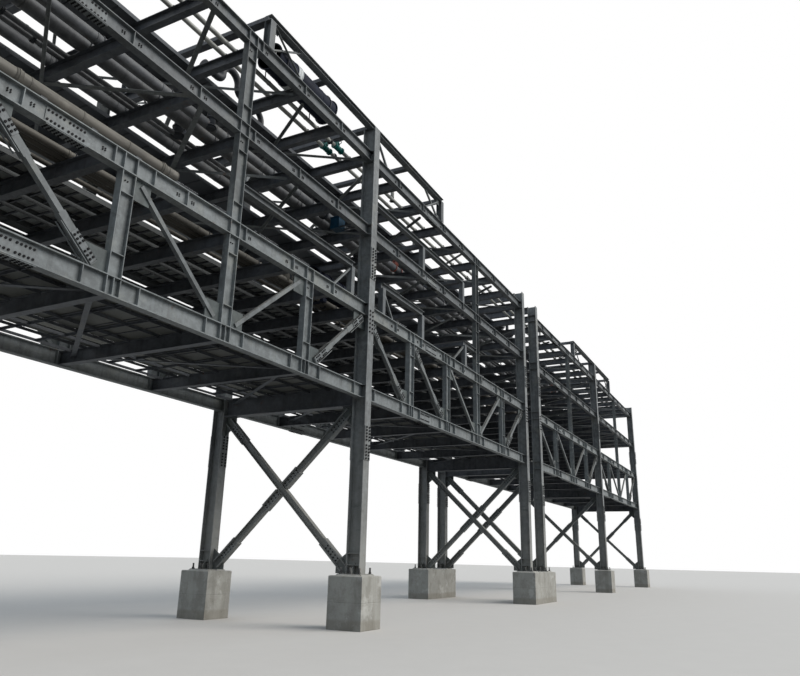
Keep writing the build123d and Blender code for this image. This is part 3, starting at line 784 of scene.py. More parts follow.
@lru_cache
def solids(name: str) -> tuple[Box, ...]:
    """Take a node apart into its solids, which don't touch one another.

    Args:
        name: the node's name.

    Returns:
        The box of each solid, from left to right.
    """
    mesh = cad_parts[name].data
    keys = [tuple(round(c, 5) for c in vertex.co) for vertex in mesh.vertices]
    joined: dict[Triple, set[Triple]] = {key: set() for key in keys}
    for polygon in mesh.polygons:
        corners = [keys[index] for index in polygon.vertices]
        for key in corners:
            joined[key].update(corners)
    waiting, boxes = set(keys), []
    while waiting:
        group, found = [], [waiting.pop()]
        while found:
            group.append(found.pop())
            fresh = joined[group[-1]] & waiting
            waiting -= fresh
            found += fresh
        boxes.append(Box(Vector(map(min, zip(*group))), Vector(map(max, zip(*group)))))
    return tuple(sorted(boxes, key=lambda box: (round(box.low.x, 3), box.low.y, box.low.z)))


def between(values: Sequence[float], start: float, end: float, margin: float = 0.05) -> tuple[float, ...]:
    """Return the distinct values that lie inside a span, in order."""
    return tuple(sorted({round(x, 4) for x in values if start + margin < x < end - margin}))


@dataclass(frozen=True)
class Span:
    """One span between two bents."""

    start: float
    end: float
    posts: tuple[float, ...]
    crossings: tuple[float, ...]
    tall: float

    @property
    def panel(self) -> float:
        """Return the distance between two posts."""
        return (self.end - self.start) / (len(self.posts) + 1)

    @property
    def panels(self) -> list[tuple[float, float]]:
        """Return the two ends of each panel."""
        points = (self.start, *self.posts, self.end)
        return list(zip(points, points[1:]))

    def is_heavy(self, middle: float) -> bool:
        """Tell whether the diagonal with its middle at an x is a heavy one."""
        return abs(middle - self.tall) > self.panel


@dataclass(frozen=True)
class BeamLine:
    """One line of lengthwise beams."""

    name: str
    y: float
    top: float
    section: Section

    @property
    def out(self) -> float:
        """Return -1 on the near side and 1 on the far side."""
        return math.copysign(1.0, self.y)

    @property
    def middle(self) -> float:
        """Return the height of the web's middle."""
        return self.top - self.section.depth / 2

    @property
    def under(self) -> float:
        """Return the height of the underside."""
        return self.top - self.section.depth

    @property
    def low(self) -> float:
        """Return the height of the lower flange's upper face."""
        return self.under + self.section.flange

    @property
    def high(self) -> float:
        """Return the height of the upper flange's lower face."""
        return self.top - self.section.flange

    @property
    def is_floor(self) -> bool:
        """Tell whether the line is a bottom chord."""
        return "bottom" in self.name

    @property
    def is_truss(self) -> bool:
        """Tell whether the line is a chord of a truss."""
        return "chord" in self.name

    def posts(self, span: Span) -> tuple[float, ...]:
        """Return the posts of a span that meet the line."""
        return span.posts if self.is_truss else (span.tall,)


@dataclass(frozen=True)
class BridgePlan:
    """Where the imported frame's steel lies; plate thicknesses are named, and all else comes from its boxes."""

    spans: tuple[Span, ...]
    supports: tuple[float, ...]
    lines: tuple[BeamLine, ...]
    column: Section
    post: Section
    half_gauge: float
    column_foot: float

    @classmethod
    def read(
        cls,
        column_plates: tuple[float, float] = (0.012, 0.008),
        chord_plates: tuple[float, float] = (0.011, 0.008),
        tier_plates: tuple[float, float] = (0.010, 0.007),
        post_plates: tuple[float, float] = (0.009, 0.006),
    ) -> "BridgePlan":
        """Read the plan from the frame's nodes.

        Args:
            column_plates: flange and web of the columns.
            chord_plates: flange and web of the chords.
            tier_plates: flange and web of the tier beams.
            post_plates: flange and web of the posts.

        Returns:
            The plan.
        """
        columns, posts = solids("near_columns"), solids("near_posts")
        supports = tuple(box.middle.x for box in columns)
        floor, roof = node_box("near_bottom_chord").high.z, node_box("near_top_chord").high.z
        low_posts = [box for box in posts if abs(box.low.z - floor) < NEARLY]
        tall_posts = [box for box in posts if abs(box.low.z - roof) < NEARLY]
        rows = [[box.middle.x for box in row] for row in (low_posts, solids("tier2_cross_beams"), tall_posts)]
        spans = []
        for beam in solids("near_bottom_chord"):
            start, end = (min(supports, key=lambda x: abs(x - tip)) for tip in (beam.low.x, beam.high.x))
            inner, crossings, tall = (between(row, start, end) for row in rows)
            spans.append(Span(start, end, inner, crossings, tall[0]))
        lines = []
        chords, tiers = ("bottom_chord", "top_chord"), ("tier3_beam", "tier4_beam")
        for name in chords + tiers:
            plates = chord_plates if name in chords else tier_plates
            for side in Side:
                box = node_box(f"{side}_{name}")
                section = Section(box.size.z, box.size.y, *plates)
                lines.append(BeamLine(f"{side}_{name}", box.middle.y, box.high.z, section))
        column, post = columns[0], low_posts[0]
        return cls(
            tuple(spans),
            supports,
            tuple(lines),
            Section(column.size.y, column.size.x, *column_plates),
            Section(post.size.x, post.size.y, *post_plates),
            -column.middle.y,
            column.low.z,
        )

    def chords(self, side: Side) -> tuple[BeamLine, BeamLine]:
        """Return the bottom and the top chord of one side."""
        lines = {line.name: line for line in self.lines}
        return lines[f"{side}_bottom_chord"], lines[f"{side}_top_chord"]


# Sub-assemblies


@dataclass
class WebStiffeners:
    """Upright plates between the flanges of the lengthwise beams."""

    plan: BridgePlan
    thickness: float = 0.009
    inset: float = 0.003
    heavy_reach: float = 0.308
    light_reach: float = 0.28
    bent_inset: float = 0.27

    def build(self, line: BeamLine) -> None:
        """Build the stiffeners of one beam line.

        Args:
            line: the beam line.
        """
        shell = Shell()
        flange = (self.plan.post.depth - self.plan.post.flange) / 2
        for span in self.plan.spans:
            posts = line.posts(span)
            both = [x + out * flange for x in posts for out in (-1, 1)]
            edges = [
                x + side * (self.heavy_reach if span.is_heavy(x + side * span.panel / 2) else self.light_reach)
                for x in posts
                for side in (-1, 1)
                if line.is_floor or side * (span.tall - x - side * span.panel / 2) > 0
            ]
            if line.is_floor:
                outer = [*posts, *edges, span.start + self.bent_inset, span.end - self.bent_inset]
            else:
                outer = [x for x in span.crossings if min(abs(x - post) for post in posts) > 2 * flange]
                if line.is_truss:
                    outer += [x for x in edges if min(abs(x - other) for other in outer) > flange]
            for x in both:
                self.plate(line, x, -line.out, shell)
            for x in both + outer:
                self.plate(line, x, line.out, shell)
        shell.piece(f"{line.name}_stiffeners", Finishes.TRUSS, f"{line.name}_paint")

    def plate(self, line: BeamLine, x: float, side: float, shell: Shell) -> None:
        """Add one stiffener.

        Args:
            line: the beam line.
            x: the stiffener's middle.
            side: 1 or -1, the side of the web.
            shell: where it goes.
        """
        half = self.thickness / 2
        inner, outer = line.section.web / 2, line.section.width / 2 - self.inset
        shell.block((x - half, line.y + side * inner, line.low), (x + half, line.y + side * outer, line.high))


@dataclass
class ConnectionBolts:
    """Bolts that show on the outer web where each cross beam is bolted on."""

    plan: BridgePlan
    columns: tuple[float, ...] = (-0.111, -0.085, 0.085, 0.111)
    rows: tuple[float, ...] = (0.017, -0.003)
    radius: float = 0.0072
    height: float = 0.009
    clear: float = 0.12

    def build(self, line: BeamLine) -> None:
        """Build the bolts of one beam line.

        Args:
            line: the beam line.
        """
        shell = Shell()
        axis = ACROSS * line.out
        face = line.y + line.out * line.section.web / 2
        for span in self.plan.spans:
            for x in (crossing + dx for crossing in span.crossings for dx in self.columns):
                if min(abs(x - post) for post in line.posts(span)) > self.clear:
                    for dz in self.rows:
                        shell.bolt(Vector((x, face, line.middle + dz)), axis, self.radius, self.height)
        shell.piece(f"{line.name}_connection_bolts", Finishes.BOLT, f"{line.name}_paint")


@dataclass
class BeamSplices:
    """Bolted plates over the webs and flanges where the lengthwise beams are joined."""

    plan: BridgePlan
    length: float = 0.38
    thickness: float = 0.008
    edge: float = 0.012
    flange_edge: float = 0.004
    bolts: int = 10
    middle_gap: float = 0.018
    end_gap: float = 0.020
    row_lift: float = 0.040
    under_rows: tuple[float, float] = (0.016, 0.042)
    bolt_radius: float = 0.0106
    under_radius: float = 0.0080
    bolt_height: float = 0.008
    top_share: float = 0.307
    bottom_share: float = 0.273

    def build(self, line: BeamLine) -> None:
        """Build the plates and the bolts of one beam line.

        Args:
            line: the beam line.
        """
        kit = Kit()
        share = self.bottom_share if line.is_floor else self.top_share
        last = self.bolts - 1
        pitch = (self.length - 2 * self.end_gap - self.middle_gap) / last
        steps = [(k - last / 2) * pitch + math.copysign(self.middle_gap / 2, k - last / 2) for k in range(self.bolts)]
        for span in self.plan.spans:
            middle = span.start + share * (span.end - span.start)
            places = [middle + step for step in steps]
            for side in (1, -1):
                self.web_plate(line, middle, places, side, kit)
            self.flange_plate(line, middle, places, kit)
        slot = f"{line.name}_paint"
        kit.plates.piece(f"{line.name}_splice_plates", Finishes.PLATE, slot)
        kit.bolts.piece(f"{line.name}_splice_bolts", Finishes.BOLT, slot)

    def web_plate(self, line: BeamLine, middle: float, places: Sequence[float], side: int, kit: Kit) -> None:
        """Add the web plate of one side, with two rows of bolts.

        Args:
            line: the beam line.
            middle: x of the joint.
            places: x of each bolt of a row.
            side: 1 or -1, the side of the web.
            kit: where the plate and the bolts go.
        """
        inner = line.y + side * line.section.web / 2
        outer = inner + side * self.thickness
        half = self.length / 2
        kit.plates.block((middle - half, inner, line.low + self.edge), (middle + half, outer, line.high - self.edge))
        for x in places:
            for dz in (-self.row_lift, self.row_lift):
                kit.bolts.bolt(Vector((x, outer, line.middle + dz)), ACROSS * side, self.bolt_radius, self.bolt_height)

    def flange_plate(self, line: BeamLine, middle: float, places: Sequence[float], kit: Kit) -> None:
        """Add a plate under the lower flange, with four rows of bolts.

        Args:
            line: the beam line.
            middle: x of the joint.
            places: x of each bolt of a row.
            kit: where the plate and the bolts go.
        """
        half, outer = self.length / 2, line.section.width / 2 - self.flange_edge
        low = line.under - self.thickness
        kit.plates.block((middle - half, line.y - outer, low), (middle + half, line.y + outer, line.under))
        first, second = (outer - row for row in self.under_rows)
        for x in places:
            for dy in (-first, -second, second, first):
                kit.bolts.bolt(Vector((x, line.y + dy, low)), -UP, self.under_radius, self.bolt_height)


@dataclass
class ColumnJoints:
    """Bolted flange plates of the columns, their foot plates and the bolts at the chords."""

    plan: BridgePlan
    splices: tuple[tuple[float, float], ...] = ((2.04, 2.49), (4.56, 5.03))
    thickness: float = 0.009
    edge: float = 0.004
    rows: int = 10
    middle_gap: float = 0.03
    bolt_column: float = 0.035
    bolt_radius: float = 0.0135
    bolt_height: float = 0.011
    washer_radius: float = 0.019575
    washer_height: float = 0.003
    chord_bolts: tuple[float, ...] = (3.78, 3.84, 3.90, 3.96, 4.02, 4.08)
    chord_bolt_height: float = 0.012
    foot_plates: tuple[float, ...] = (0.74, 0.88)
    level_inset: float = 0.003

    def build(self, side: Side) -> None:
        """Build the joints of one row of columns.

        Args:
            side: the row's side.
        """
        kit = Kit()
        y = side.out * self.plan.half_gauge
        for x in self.plan.supports:
            for ends in self.splices:
                for out in (1, -1):
                    self.flange_plate(x, y, out, ends, kit)
            for out in (1, -1):
                face = y + out * self.plan.column.depth / 2
                for z in self.chord_bolts:
                    for dx in (-self.bolt_column, self.bolt_column):
                        seat = Vector((x + dx, face, z))
                        kit.bolts.bolt(seat, ACROSS * out, self.bolt_radius, self.chord_bolt_height)
            for z in self.foot_plates:
                self.level_plates(x, y, z, kit)
            for line in self.plan.lines:
                if abs(line.y - y) < NEARLY:
                    self.level_plates(x, y, line.high, kit)
                    self.level_plates(x, y, line.low - self.thickness, kit)
        slot = f"{side}_columns_paint"
        kit.plates.piece(f"{side}_column_plates", Finishes.COLUMN, slot)
        kit.washers.piece(f"{side}_column_washers", Finishes.PLATE, slot)
        kit.bolts.piece(f"{side}_column_bolts", Finishes.BOLT, slot)

    def flange_plate(self, x: float, y: float, out: int, ends: tuple[float, float], kit: Kit) -> None:
        """Add one splice plate on a flange's outer face, with washers and bolts.

        Args:
            x: the column's x.
            y: the column's y.
            out: 1 or -1, the side that the flange faces.
            ends: the plate's foot and head.
            kit: where the plate, the washers and the bolts go.
        """
        low, high = ends
        half = self.plan.column.width / 2 - self.edge
        face = y + out * self.plan.column.depth / 2
        outer = face + out * self.thickness
        kit.plates.block((x - half, face, low), (x + half, outer, high))
        pitch = (high - low - self.middle_gap) / self.rows
        for row in range(self.rows):
            z = low + (row + 0.5) * pitch + (self.middle_gap if row >= self.rows / 2 else 0.0)
            for dx in (-self.bolt_column, self.bolt_column):
                seat = Vector((x + dx, outer, z))
                head = seat + ACROSS * out * self.washer_height
                kit.washers.rod(seat, head, self.washer_radius)
                kit.bolts.bolt(head, ACROSS * out, self.bolt_radius, self.bolt_height)

    def level_plates(self, x: float, y: float, z: float, kit: Kit) -> None:
        """Add level plates between a column's flanges, on both sides of its web.

        Args:
            x: the column's x.
            y: the column's y.
            z: height of the plates' undersides.
            kit: where the plates go.
        """
        column = self.plan.column
        inner = column.depth / 2 - column.flange
        for out in (1, -1):
            corner = (x + out * (column.width / 2 - self.level_inset), y + inner, z + self.thickness)
            kit.plates.block((x + out * column.web / 2, y - inner, z), corner)


@dataclass
class Feet:
    """Grout beds, and anchor bolts with their nuts and washers as (height, radius, sides), at the columns' feet."""

    anchor_inset: float = 0.032
    washer: tuple[float, float, int] = (0.004, 0.024, 12)
    nut: tuple[float, float, int] = (0.022, 0.0192, 6)
    anchor: tuple[float, float, int] = (0.075, 0.012, 10)
    skirt: float = 0.022
    skirt_top: float = 0.004
    skirt_height: float = 0.014

    def build(self) -> None:
        """Build the anchors and the grout."""
        anchors, grout = Shell(), Shell()
        for plate in solids("base_plates"):
            self.one_foot(plate, anchors, grout)
        anchors.piece("anchor_bolts", Finishes.NUT, "base_plate_steel")
        grout.piece("grout_beds", Finishes.GROUT, "plinth_concrete")

    def one_foot(self, plate: Box, anchors: Shell, grout: Shell) -> None:
        """Add the anchors and the grout skirt of one base plate.

        Args:
            plate: the base plate.
            anchors: where the anchors go.
            grout: where the skirt goes.
        """
        x, y = plate.middle.x, plate.middle.y
        half = plate.size.x / 2
        corners = [Vector((x + a * half, y + b * half, plate.low.z)) for a, b in ((-1, -1), (1, -1), (1, 1), (-1, 1))]
        outline = ((0, 0), (self.skirt, 0), (self.skirt_top, self.skirt_height), (0, self.skirt_height))
        for start, end in zip(corners, corners[1:] + corners[:1]):
            grout.push(start, end, outline)
        reach = half - self.anchor_inset
        for dx in (-reach, reach):
            for dy in (-reach, 0.0, reach):
                seat = Vector((x + dx, y + dy, plate.high.z))
                for height, radius, sides in (self.washer, self.nut, self.anchor):
                    anchors.rod(seat, seat + UP * height, radius, sides)


@dataclass(frozen=True)
class Diagonal:
    """One diagonal of a truss: its two ends on its centre line, and whether it is a heavy one."""

    start: Vector
    end: Vector
    heavy: bool


@dataclass
class Diagonals:
    """Diagonals as closed bars: heavy ones end in wide stubs with bolted plates, light ones lie over the gussets."""

    plan: BridgePlan
    heavy_depth: float = 0.052
    stub_depth: float = 0.074
    light_depth: float = 0.044
    heavy_lip: float = 0.016
    light_lip: float = 0.028
    foot_shift: float = 0.052
    head_shift: float = 0.036
    cap_length: float = 0.006
    cap_over: float = 0.003
    stub_length: float = 0.46
    stub_over: float = 0.004
    plate_start: float = 0.008
    plate_length: float = 0.285
    plate_inset: float = 0.002
    plate_thickness: float = 0.008
    end_plate: float = 0.005
    end_plate_over: float = 0.016
    edge_plate_length: float = 0.41
    edge_plate_over: float = 0.006
    edge_plate_thickness: float = 0.006
    edge_strip: float = 0.013
    edge_gap: float = 0.018
    bolt_rows: int = 6
    bolt_pitch: float = 0.038
    bolt_column: float = 0.020
    bolt_radius: float = 0.0112
    bolt_height: float = 0.009
    middle_gap: float = 0.036

    def build(self, side: Side) -> None:
        """Build the diagonals of one truss.

        Args:
            side: the truss's side.
        """
        kit = Kit()
        for bar in self.bars(side):
            along = (bar.end - bar.start).normalized()
            across = ACROSS.cross(along)
            depth = self.heavy_depth if bar.heavy else self.light_depth
            kit.bars.bar(bar.start, bar.end, depth, depth, across)
            for point, inward in ((bar.start, along), (bar.end, -along)):
                if bar.heavy:
                    self.heavy_end(point, inward, across, kit)
                else:
                    cap = depth + self.cap_over
                    kit.plates.bar(point, point + inward * self.cap_length, cap, cap, across)
        slot = f"{side}_diagonals_paint"
        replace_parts(kit.bars.piece(f"{side}_diagonal_bars", Finishes.BRACE, slot), f"{side}_diagonals")
        kit.plates.piece(f"{side}_diagonal_plates", Finishes.PLATE, slot)
        kit.bolts.piece(f"{side}_diagonal_bolts", Finishes.BOLT, slot)

    def bars(self, side: Side) -> list[Diagonal]:
        """Lay out the diagonals of one truss, each falling towards its span's tall post.

        Args:
            side: the truss's side.

        Returns:
            The diagonals, from left to right.
        """
        floor, roof = self.plan.chords(side)
        rise = roof.middle - floor.middle
        found = []
        for span in self.plan.spans:
            for left, right in span.panels:
                middle = (left + right) / 2
                heavy = span.is_heavy(middle)
                low_x, high_x = (right, left) if middle < span.tall else (left, right)
                way = math.copysign(1.0, high_x - low_x)
                depth, lip = (self.stub_depth, self.heavy_lip) if heavy else (self.light_depth, self.light_lip)
                inset = lip + depth / 2 * math.cos(math.atan2(rise, span.panel))
                shifts = (self.foot_shift, self.head_shift) if heavy else (0.0, 0.0)
                ends = [
                    Vector((low_x + (z - floor.middle) / rise * (high_x - low_x) + way * shift, floor.y, z))
                    for z, shift in zip((floor.top + inset, roof.under - inset), shifts)
                ]
                found.append(Diagonal(*ends, heavy))
        return found

    def heavy_end(self, point: Vector, inward: Vector, across: Vector, kit: Kit) -> None:
        """Add one heavy end: a wide stub, bolted plates on its two faces, its edge plates and its end plate.

        Args:
            point: the end of the bar on its centre line.
            inward: direction along the bar, away from its end.
            across: direction across the bar in the truss's plane.
            kit: where the stub, the plates and the bolts go.
        """
        breadth = self.heavy_depth + self.stub_over
        kit.bars.bar(point, point + inward * self.stub_length, breadth, self.stub_depth, across)
        start = point + inward * self.plate_start
        end = start + inward * self.plate_length
        first = self.plate_length / 2 - (self.bolt_rows - 1) / 2 * self.bolt_pitch - self.middle_gap / 2
        half = breadth / 2
        for out in (1, -1):
            middle = ACROSS * out * (half + self.plate_thickness / 2)
            width = self.stub_depth - self.plate_inset
            kit.plates.bar(start + middle, end + middle, width, self.plate_thickness, ACROSS)
            face = ACROSS * out * (half + self.plate_thickness)
            for row in range(self.bolt_rows):
                along = first + row * self.bolt_pitch + (self.middle_gap if row >= self.bolt_rows / 2 else 0.0)
                for column in (-self.bolt_column, self.bolt_column):
                    seat = start + inward * along + across * column + face
                    kit.bolts.bolt(seat, ACROSS * out, self.bolt_radius, self.bolt_height)
            for lift, width in self.edge_places(across, half, out):
                edge = point + inward * self.edge_plate_length
                kit.plates.bar(point + lift, edge + lift, self.edge_plate_thickness, width, ACROSS)
        kit.plates.bar(point - inward * self.end_plate, point, breadth + self.end_plate_over, self.stub_depth, across)

    def edge_places(self, across: Vector, half: float, out: int) -> tuple[tuple[Vector, float], ...]:
        """Place a plate on the stub's upper edge and a strip that stands off its lower one.

        Args:
            across: direction across the bar in the truss's plane.
            half: half the stub's breadth.
            out: 1 or -1, the face that the strip lies beside.

        Returns:
            Their offsets from the bar's centre line, with their breadths.
        """
        up = across if across.z > 0 else -across
        stand = self.stub_depth / 2 + self.edge_plate_thickness / 2
        strip = ACROSS * out * (half + self.plate_thickness - self.edge_strip / 2)
        plate = (up * stand, 2 * half + self.edge_plate_over)
        return plate, (strip - up * (stand + self.edge_gap), self.edge_strip)


@dataclass
class TrussGussets:
    """Square gusset plates in the truss plane, over the corners that the diagonals meet."""

    plan: BridgePlan
    height: float = 0.205
    heavy_reach: float = 0.31
    light_reach: float = 0.28
    thickness: float = 0.013

    def build(self, side: Side) -> None:
        """Build the gussets of one truss.

        Args:
            side: the truss's side.
        """
        shell = Shell()
        floor, roof = self.plan.chords(side)
        half, post_half, web_half = self.thickness / 2, self.plan.post.depth / 2, self.plan.column.web / 2
        for span in self.plan.spans:
            for left, right in span.panels:
                middle = (left + right) / 2
                falling = middle < span.tall
                reach = self.heavy_reach if span.is_heavy(middle) else self.light_reach
                for x, way, up in ((left, 1, falling), (right, -1, not falling)):
                    inner = web_half if x in (span.start, span.end) else post_half
                    low = roof.under - self.height if up else floor.top
                    corner = (x + way * reach, floor.y + half, low + self.height)
                    shell.block((x + way * inner, floor.y - half, low), corner)
        shell.piece(f"{side}_gusset_plates", Finishes.GUSSET, f"{side}_gussets_paint")


@dataclass
class PostPlates:
    """Level plates in the posts' recesses, and small bolt groups under their heads."""

    plan: BridgePlan
    gusset_height: float = 0.205
    thickness: float = 0.008
    inset: float = 0.002
    bolt_drop: float = 0.072
    bolt_column: float = 0.014
    bolt_radius: float = 0.0075
    bolt_height: float = 0.009

    def build(self, side: Side) -> None:
        """Build the plates of one row of posts.

        Args:
            side: the row's side.
        """
        post = self.plan.post
        kit = Kit()
        inner = post.depth / 2 - post.flange
        for box in solids(f"{side}_posts"):
            x, y = box.middle.x, box.middle.y
            levels = box.low.z + self.gusset_height, box.high.z - self.gusset_height
            for out in (1, -1):
                face, edge = y + out * post.web / 2, y + out * (post.width / 2 - self.inset)
                for level in levels:
                    kit.plates.block((x - inner, face, level), (x + inner, edge, level + self.thickness))
                for dx in (-self.bolt_column, self.bolt_column):
                    seat = Vector((x + dx, face, box.high.z - self.bolt_drop))
                    kit.bolts.bolt(seat, ACROSS * out, self.bolt_radius, self.bolt_height)
        slot = f"{side}_posts_paint"
        kit.plates.piece(f"{side}_post_plates", Finishes.TRUSS, slot)
        kit.bolts.piece(f"{side}_post_bolts", Finishes.BOLT, slot)


@dataclass
class BentBraces:
    """Crossed braces of the bents as H bars, with fork plates at their ends and splice plates where they cross."""

    plan: BridgePlan
    section: Section = Section(0.090, 0.075, 0.008, 0.007)
    packed_depth: float = 0.105
    lip: float = 0.11
    plate_thickness: float = 0.008
    plate_inset: float = 0.004
    flange_plate_thickness: float = 0.012
    flange_plate_width: float = 0.088
    fork_start: float = 0.12
    fork_length: float = 0.46
    face_plate: float = 0.27
    splice_length: float = 0.30
    splice_start: float = 0.060
    bolt_pitch: float = 0.055
    bolt_column: float = 0.020
    bolt_radius: float = 0.0100
    bolt_height: float = 0.010

    def build(self) -> None:
        """Build the braces of all bents."""
        kit = Kit()
        face = self.plan.half_gauge - self.plan.column.depth / 2
        foot, head = self.plan.column_foot, node_box("bent_cross_beams").low.z
        angle = math.atan2(head - foot, 2 * face)
        inset = self.lip + self.packed_depth / 2 * math.cos(angle)
        reach = face - inset / math.tan(angle)
        for x in self.plan.supports:
            for side in (1, -1):
                low, high = Vector((x, -side * reach, foot + inset)), Vector((x, side * reach, head - inset))
                along = (high - low).normalized()
                across = ALONG.cross(along)
                self.fork(low, along, across, kit)
                self.fork(high, -along, across, kit)
                if side == 1:
                    kit.bars.h_bar(low, high, self.section, across)
                else:
                    middle, gap = (low + high) / 2, along * self.section.depth / 2
                    kit.bars.h_bar(low, middle - gap, self.section, across)
                    kit.bars.h_bar(middle + gap, high, self.section, across)
                    self.crossing(middle, along, across, kit)
        slot = "bent_cross_braces_paint"
        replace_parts(kit.bars.piece("bent_brace_bars", Finishes.BRACE, slot), "bent_cross_braces")
        kit.plates.piece("bent_brace_plates", Finishes.PLATE, slot)
        kit.bolts.piece("bent_brace_bolts", Finishes.BOLT, slot)

    def fork(self, point: Vector, inward: Vector, across: Vector, kit: Kit) -> None:
        """Add flange plates that run past one end, and a bolted plate on each side of the web.

        Args:
            point: the end of the bar on its centre line.
            inward: direction along the bar, away from its end.
            across: direction across the bar in the bent's plane.
            kit: where the plates and the bolts go.
        """
        start = point - inward * self.fork_start
        self.flange_plates(start, start + inward * self.fork_length, across, kit)
        self.web_plates(point, inward, across, self.face_plate, kit)

    def crossing(self, middle: Vector, along: Vector, across: Vector, kit: Kit) -> None:
        """Add the splice plates of the stopped bar on both sides of the crossing.

        Args:
            middle: where the two bars cross.
            along: direction along the stopped bar.
            across: direction across it in the bent's plane.
            kit: where the plates and the bolts go.
        """
        for way in (1, -1):
            start = middle + along * way * self.splice_start
            self.flange_plates(start, start + along * way * self.splice_length, across, kit)
            self.web_plates(start, along * way, across, self.splice_length, kit)

    def flange_plates(self, start: Vector, end: Vector, across: Vector, kit: Kit) -> None:
        """Add a plate on the outer face of each flange.

        Args:
            start: where the plates start, on the bar's centre line.
            end: where they end.
            across: direction across the bar in the bent's plane.
            kit: where the plates go.
        """
        for out in (1, -1):
            lift = across * out * (self.section.depth + self.flange_plate_thickness) / 2
            kit.plates.bar(start + lift, end + lift, self.flange_plate_thickness, self.flange_plate_width, ALONG)

    def web_plates(self, start: Vector, inward: Vector, across: Vector, length: float, kit: Kit) -> None:
        """Add a plate on each side of the web, with two columns of bolts.

        Args:
            start: where the plates start, on the bar's centre line.
            inward: direction along the bar.
            across: direction across the bar in the bent's plane.
            length: the plates' length.
            kit: where the plates and the bolts go.
        """
        rows = round(length / self.bolt_pitch)
        width = self.section.depth - 2 * self.section.flange - self.plate_inset
        for out in (1, -1):
            middle = ALONG * out * (self.section.web + self.plate_thickness) / 2
            kit.plates.bar(start + middle, start + inward * length + middle, width, self.plate_thickness, ALONG)
            face = ALONG * out * (self.section.web / 2 + self.plate_thickness)
            for row in range(rows):
                for column in (-self.bolt_column, self.bolt_column):
                    seat = start + inward * length * (row + 0.5) / rows + across * column + face
                    kit.bolts.bolt(seat, ALONG * out, self.bolt_radius, self.bolt_height)


@dataclass
class LadderTrays:
    """Rungs and lids of the ladder trays on tier two, and a narrow closed tray beside them."""

    rung_pitch: float = 0.155
    rung_width: float = 0.022
    rung_levels: tuple[float, float] = (0.003, 0.020)
    sheets: int = 12
    sheet_gap: float = 0.004
    sheet_over: float = 0.004
    sheet_lift: float = 0.0005
    sheet_thickness: float = 0.0035
    edge_gap: float = 0.022
    edge_width: float = 0.145
    rib_pitch: float = 0.31
    rib_inset: float = 0.004
    slot: str = "tray_galvanised"

    def build(self) -> None:
        """Build the rungs between each pair of rails, and the lid sheets over them."""
        rungs, lids = Shell(), Shell()
        rails = sorted(solids("tier2_cable_trays"), key=lambda box: box.low.y)
        half = self.rung_width / 2
        for inner, outer in zip(rails[::2], rails[1::2]):
            start, length = inner.low.x, inner.size.x
            low, high = (inner.low.z + level for level in self.rung_levels)
            count = int(length / self.rung_pitch)
            for x in evenly(start, count * self.rung_pitch, count):
                rungs.block((x - half, inner.high.y, low), (x + half, outer.low.y, high))
            run, low = length / self.sheets, inner.high.z + self.sheet_lift
            for k in range(self.sheets):
                x = start + k * run
                corner = (x + run - self.sheet_gap, outer.high.y + self.sheet_over, low + self.sheet_thickness)
                lids.block((x + self.sheet_gap, inner.low.y - self.sheet_over, low), corner)
        rungs.piece("ladder_tray_rungs", Finishes.DARK, self.slot)
        lids.piece("ladder_tray_lids", Finishes.LID, self.slot)
        self.edge_tray(rails[-1])

    def edge_tray(self, rail: Box) -> None:
        """Build the narrow closed tray between the last ladder tray and the far truss.

        Args:
            rail: the last ladder tray's outer rail.
        """
        tray, ribs = Shell(), Shell()
        (left, _, low), (right, near, high) = rail.low, rail.high
        near, half, sheet = near + self.edge_gap, self.rung_width / 2, self.sheet_thickness
        far = near + self.edge_width
        tray.block((left, near, low), (right, far, low + sheet))
        for y in (near, far - sheet):
            tray.block((left, y, low + sheet), (right, y + sheet, high))
        count = int((right - left) / self.rib_pitch)
        for x in evenly(left, count * self.rib_pitch, count):
            ribs.block((x - half, near + self.rib_inset, low - sheet), (x + half, far - self.rib_inset, low))
        tray.piece("tier2_edge_tray", Finishes.TRAY, self.slot)
        ribs.piece("tier2_edge_tray_ribs", Finishes.DARK, self.slot)


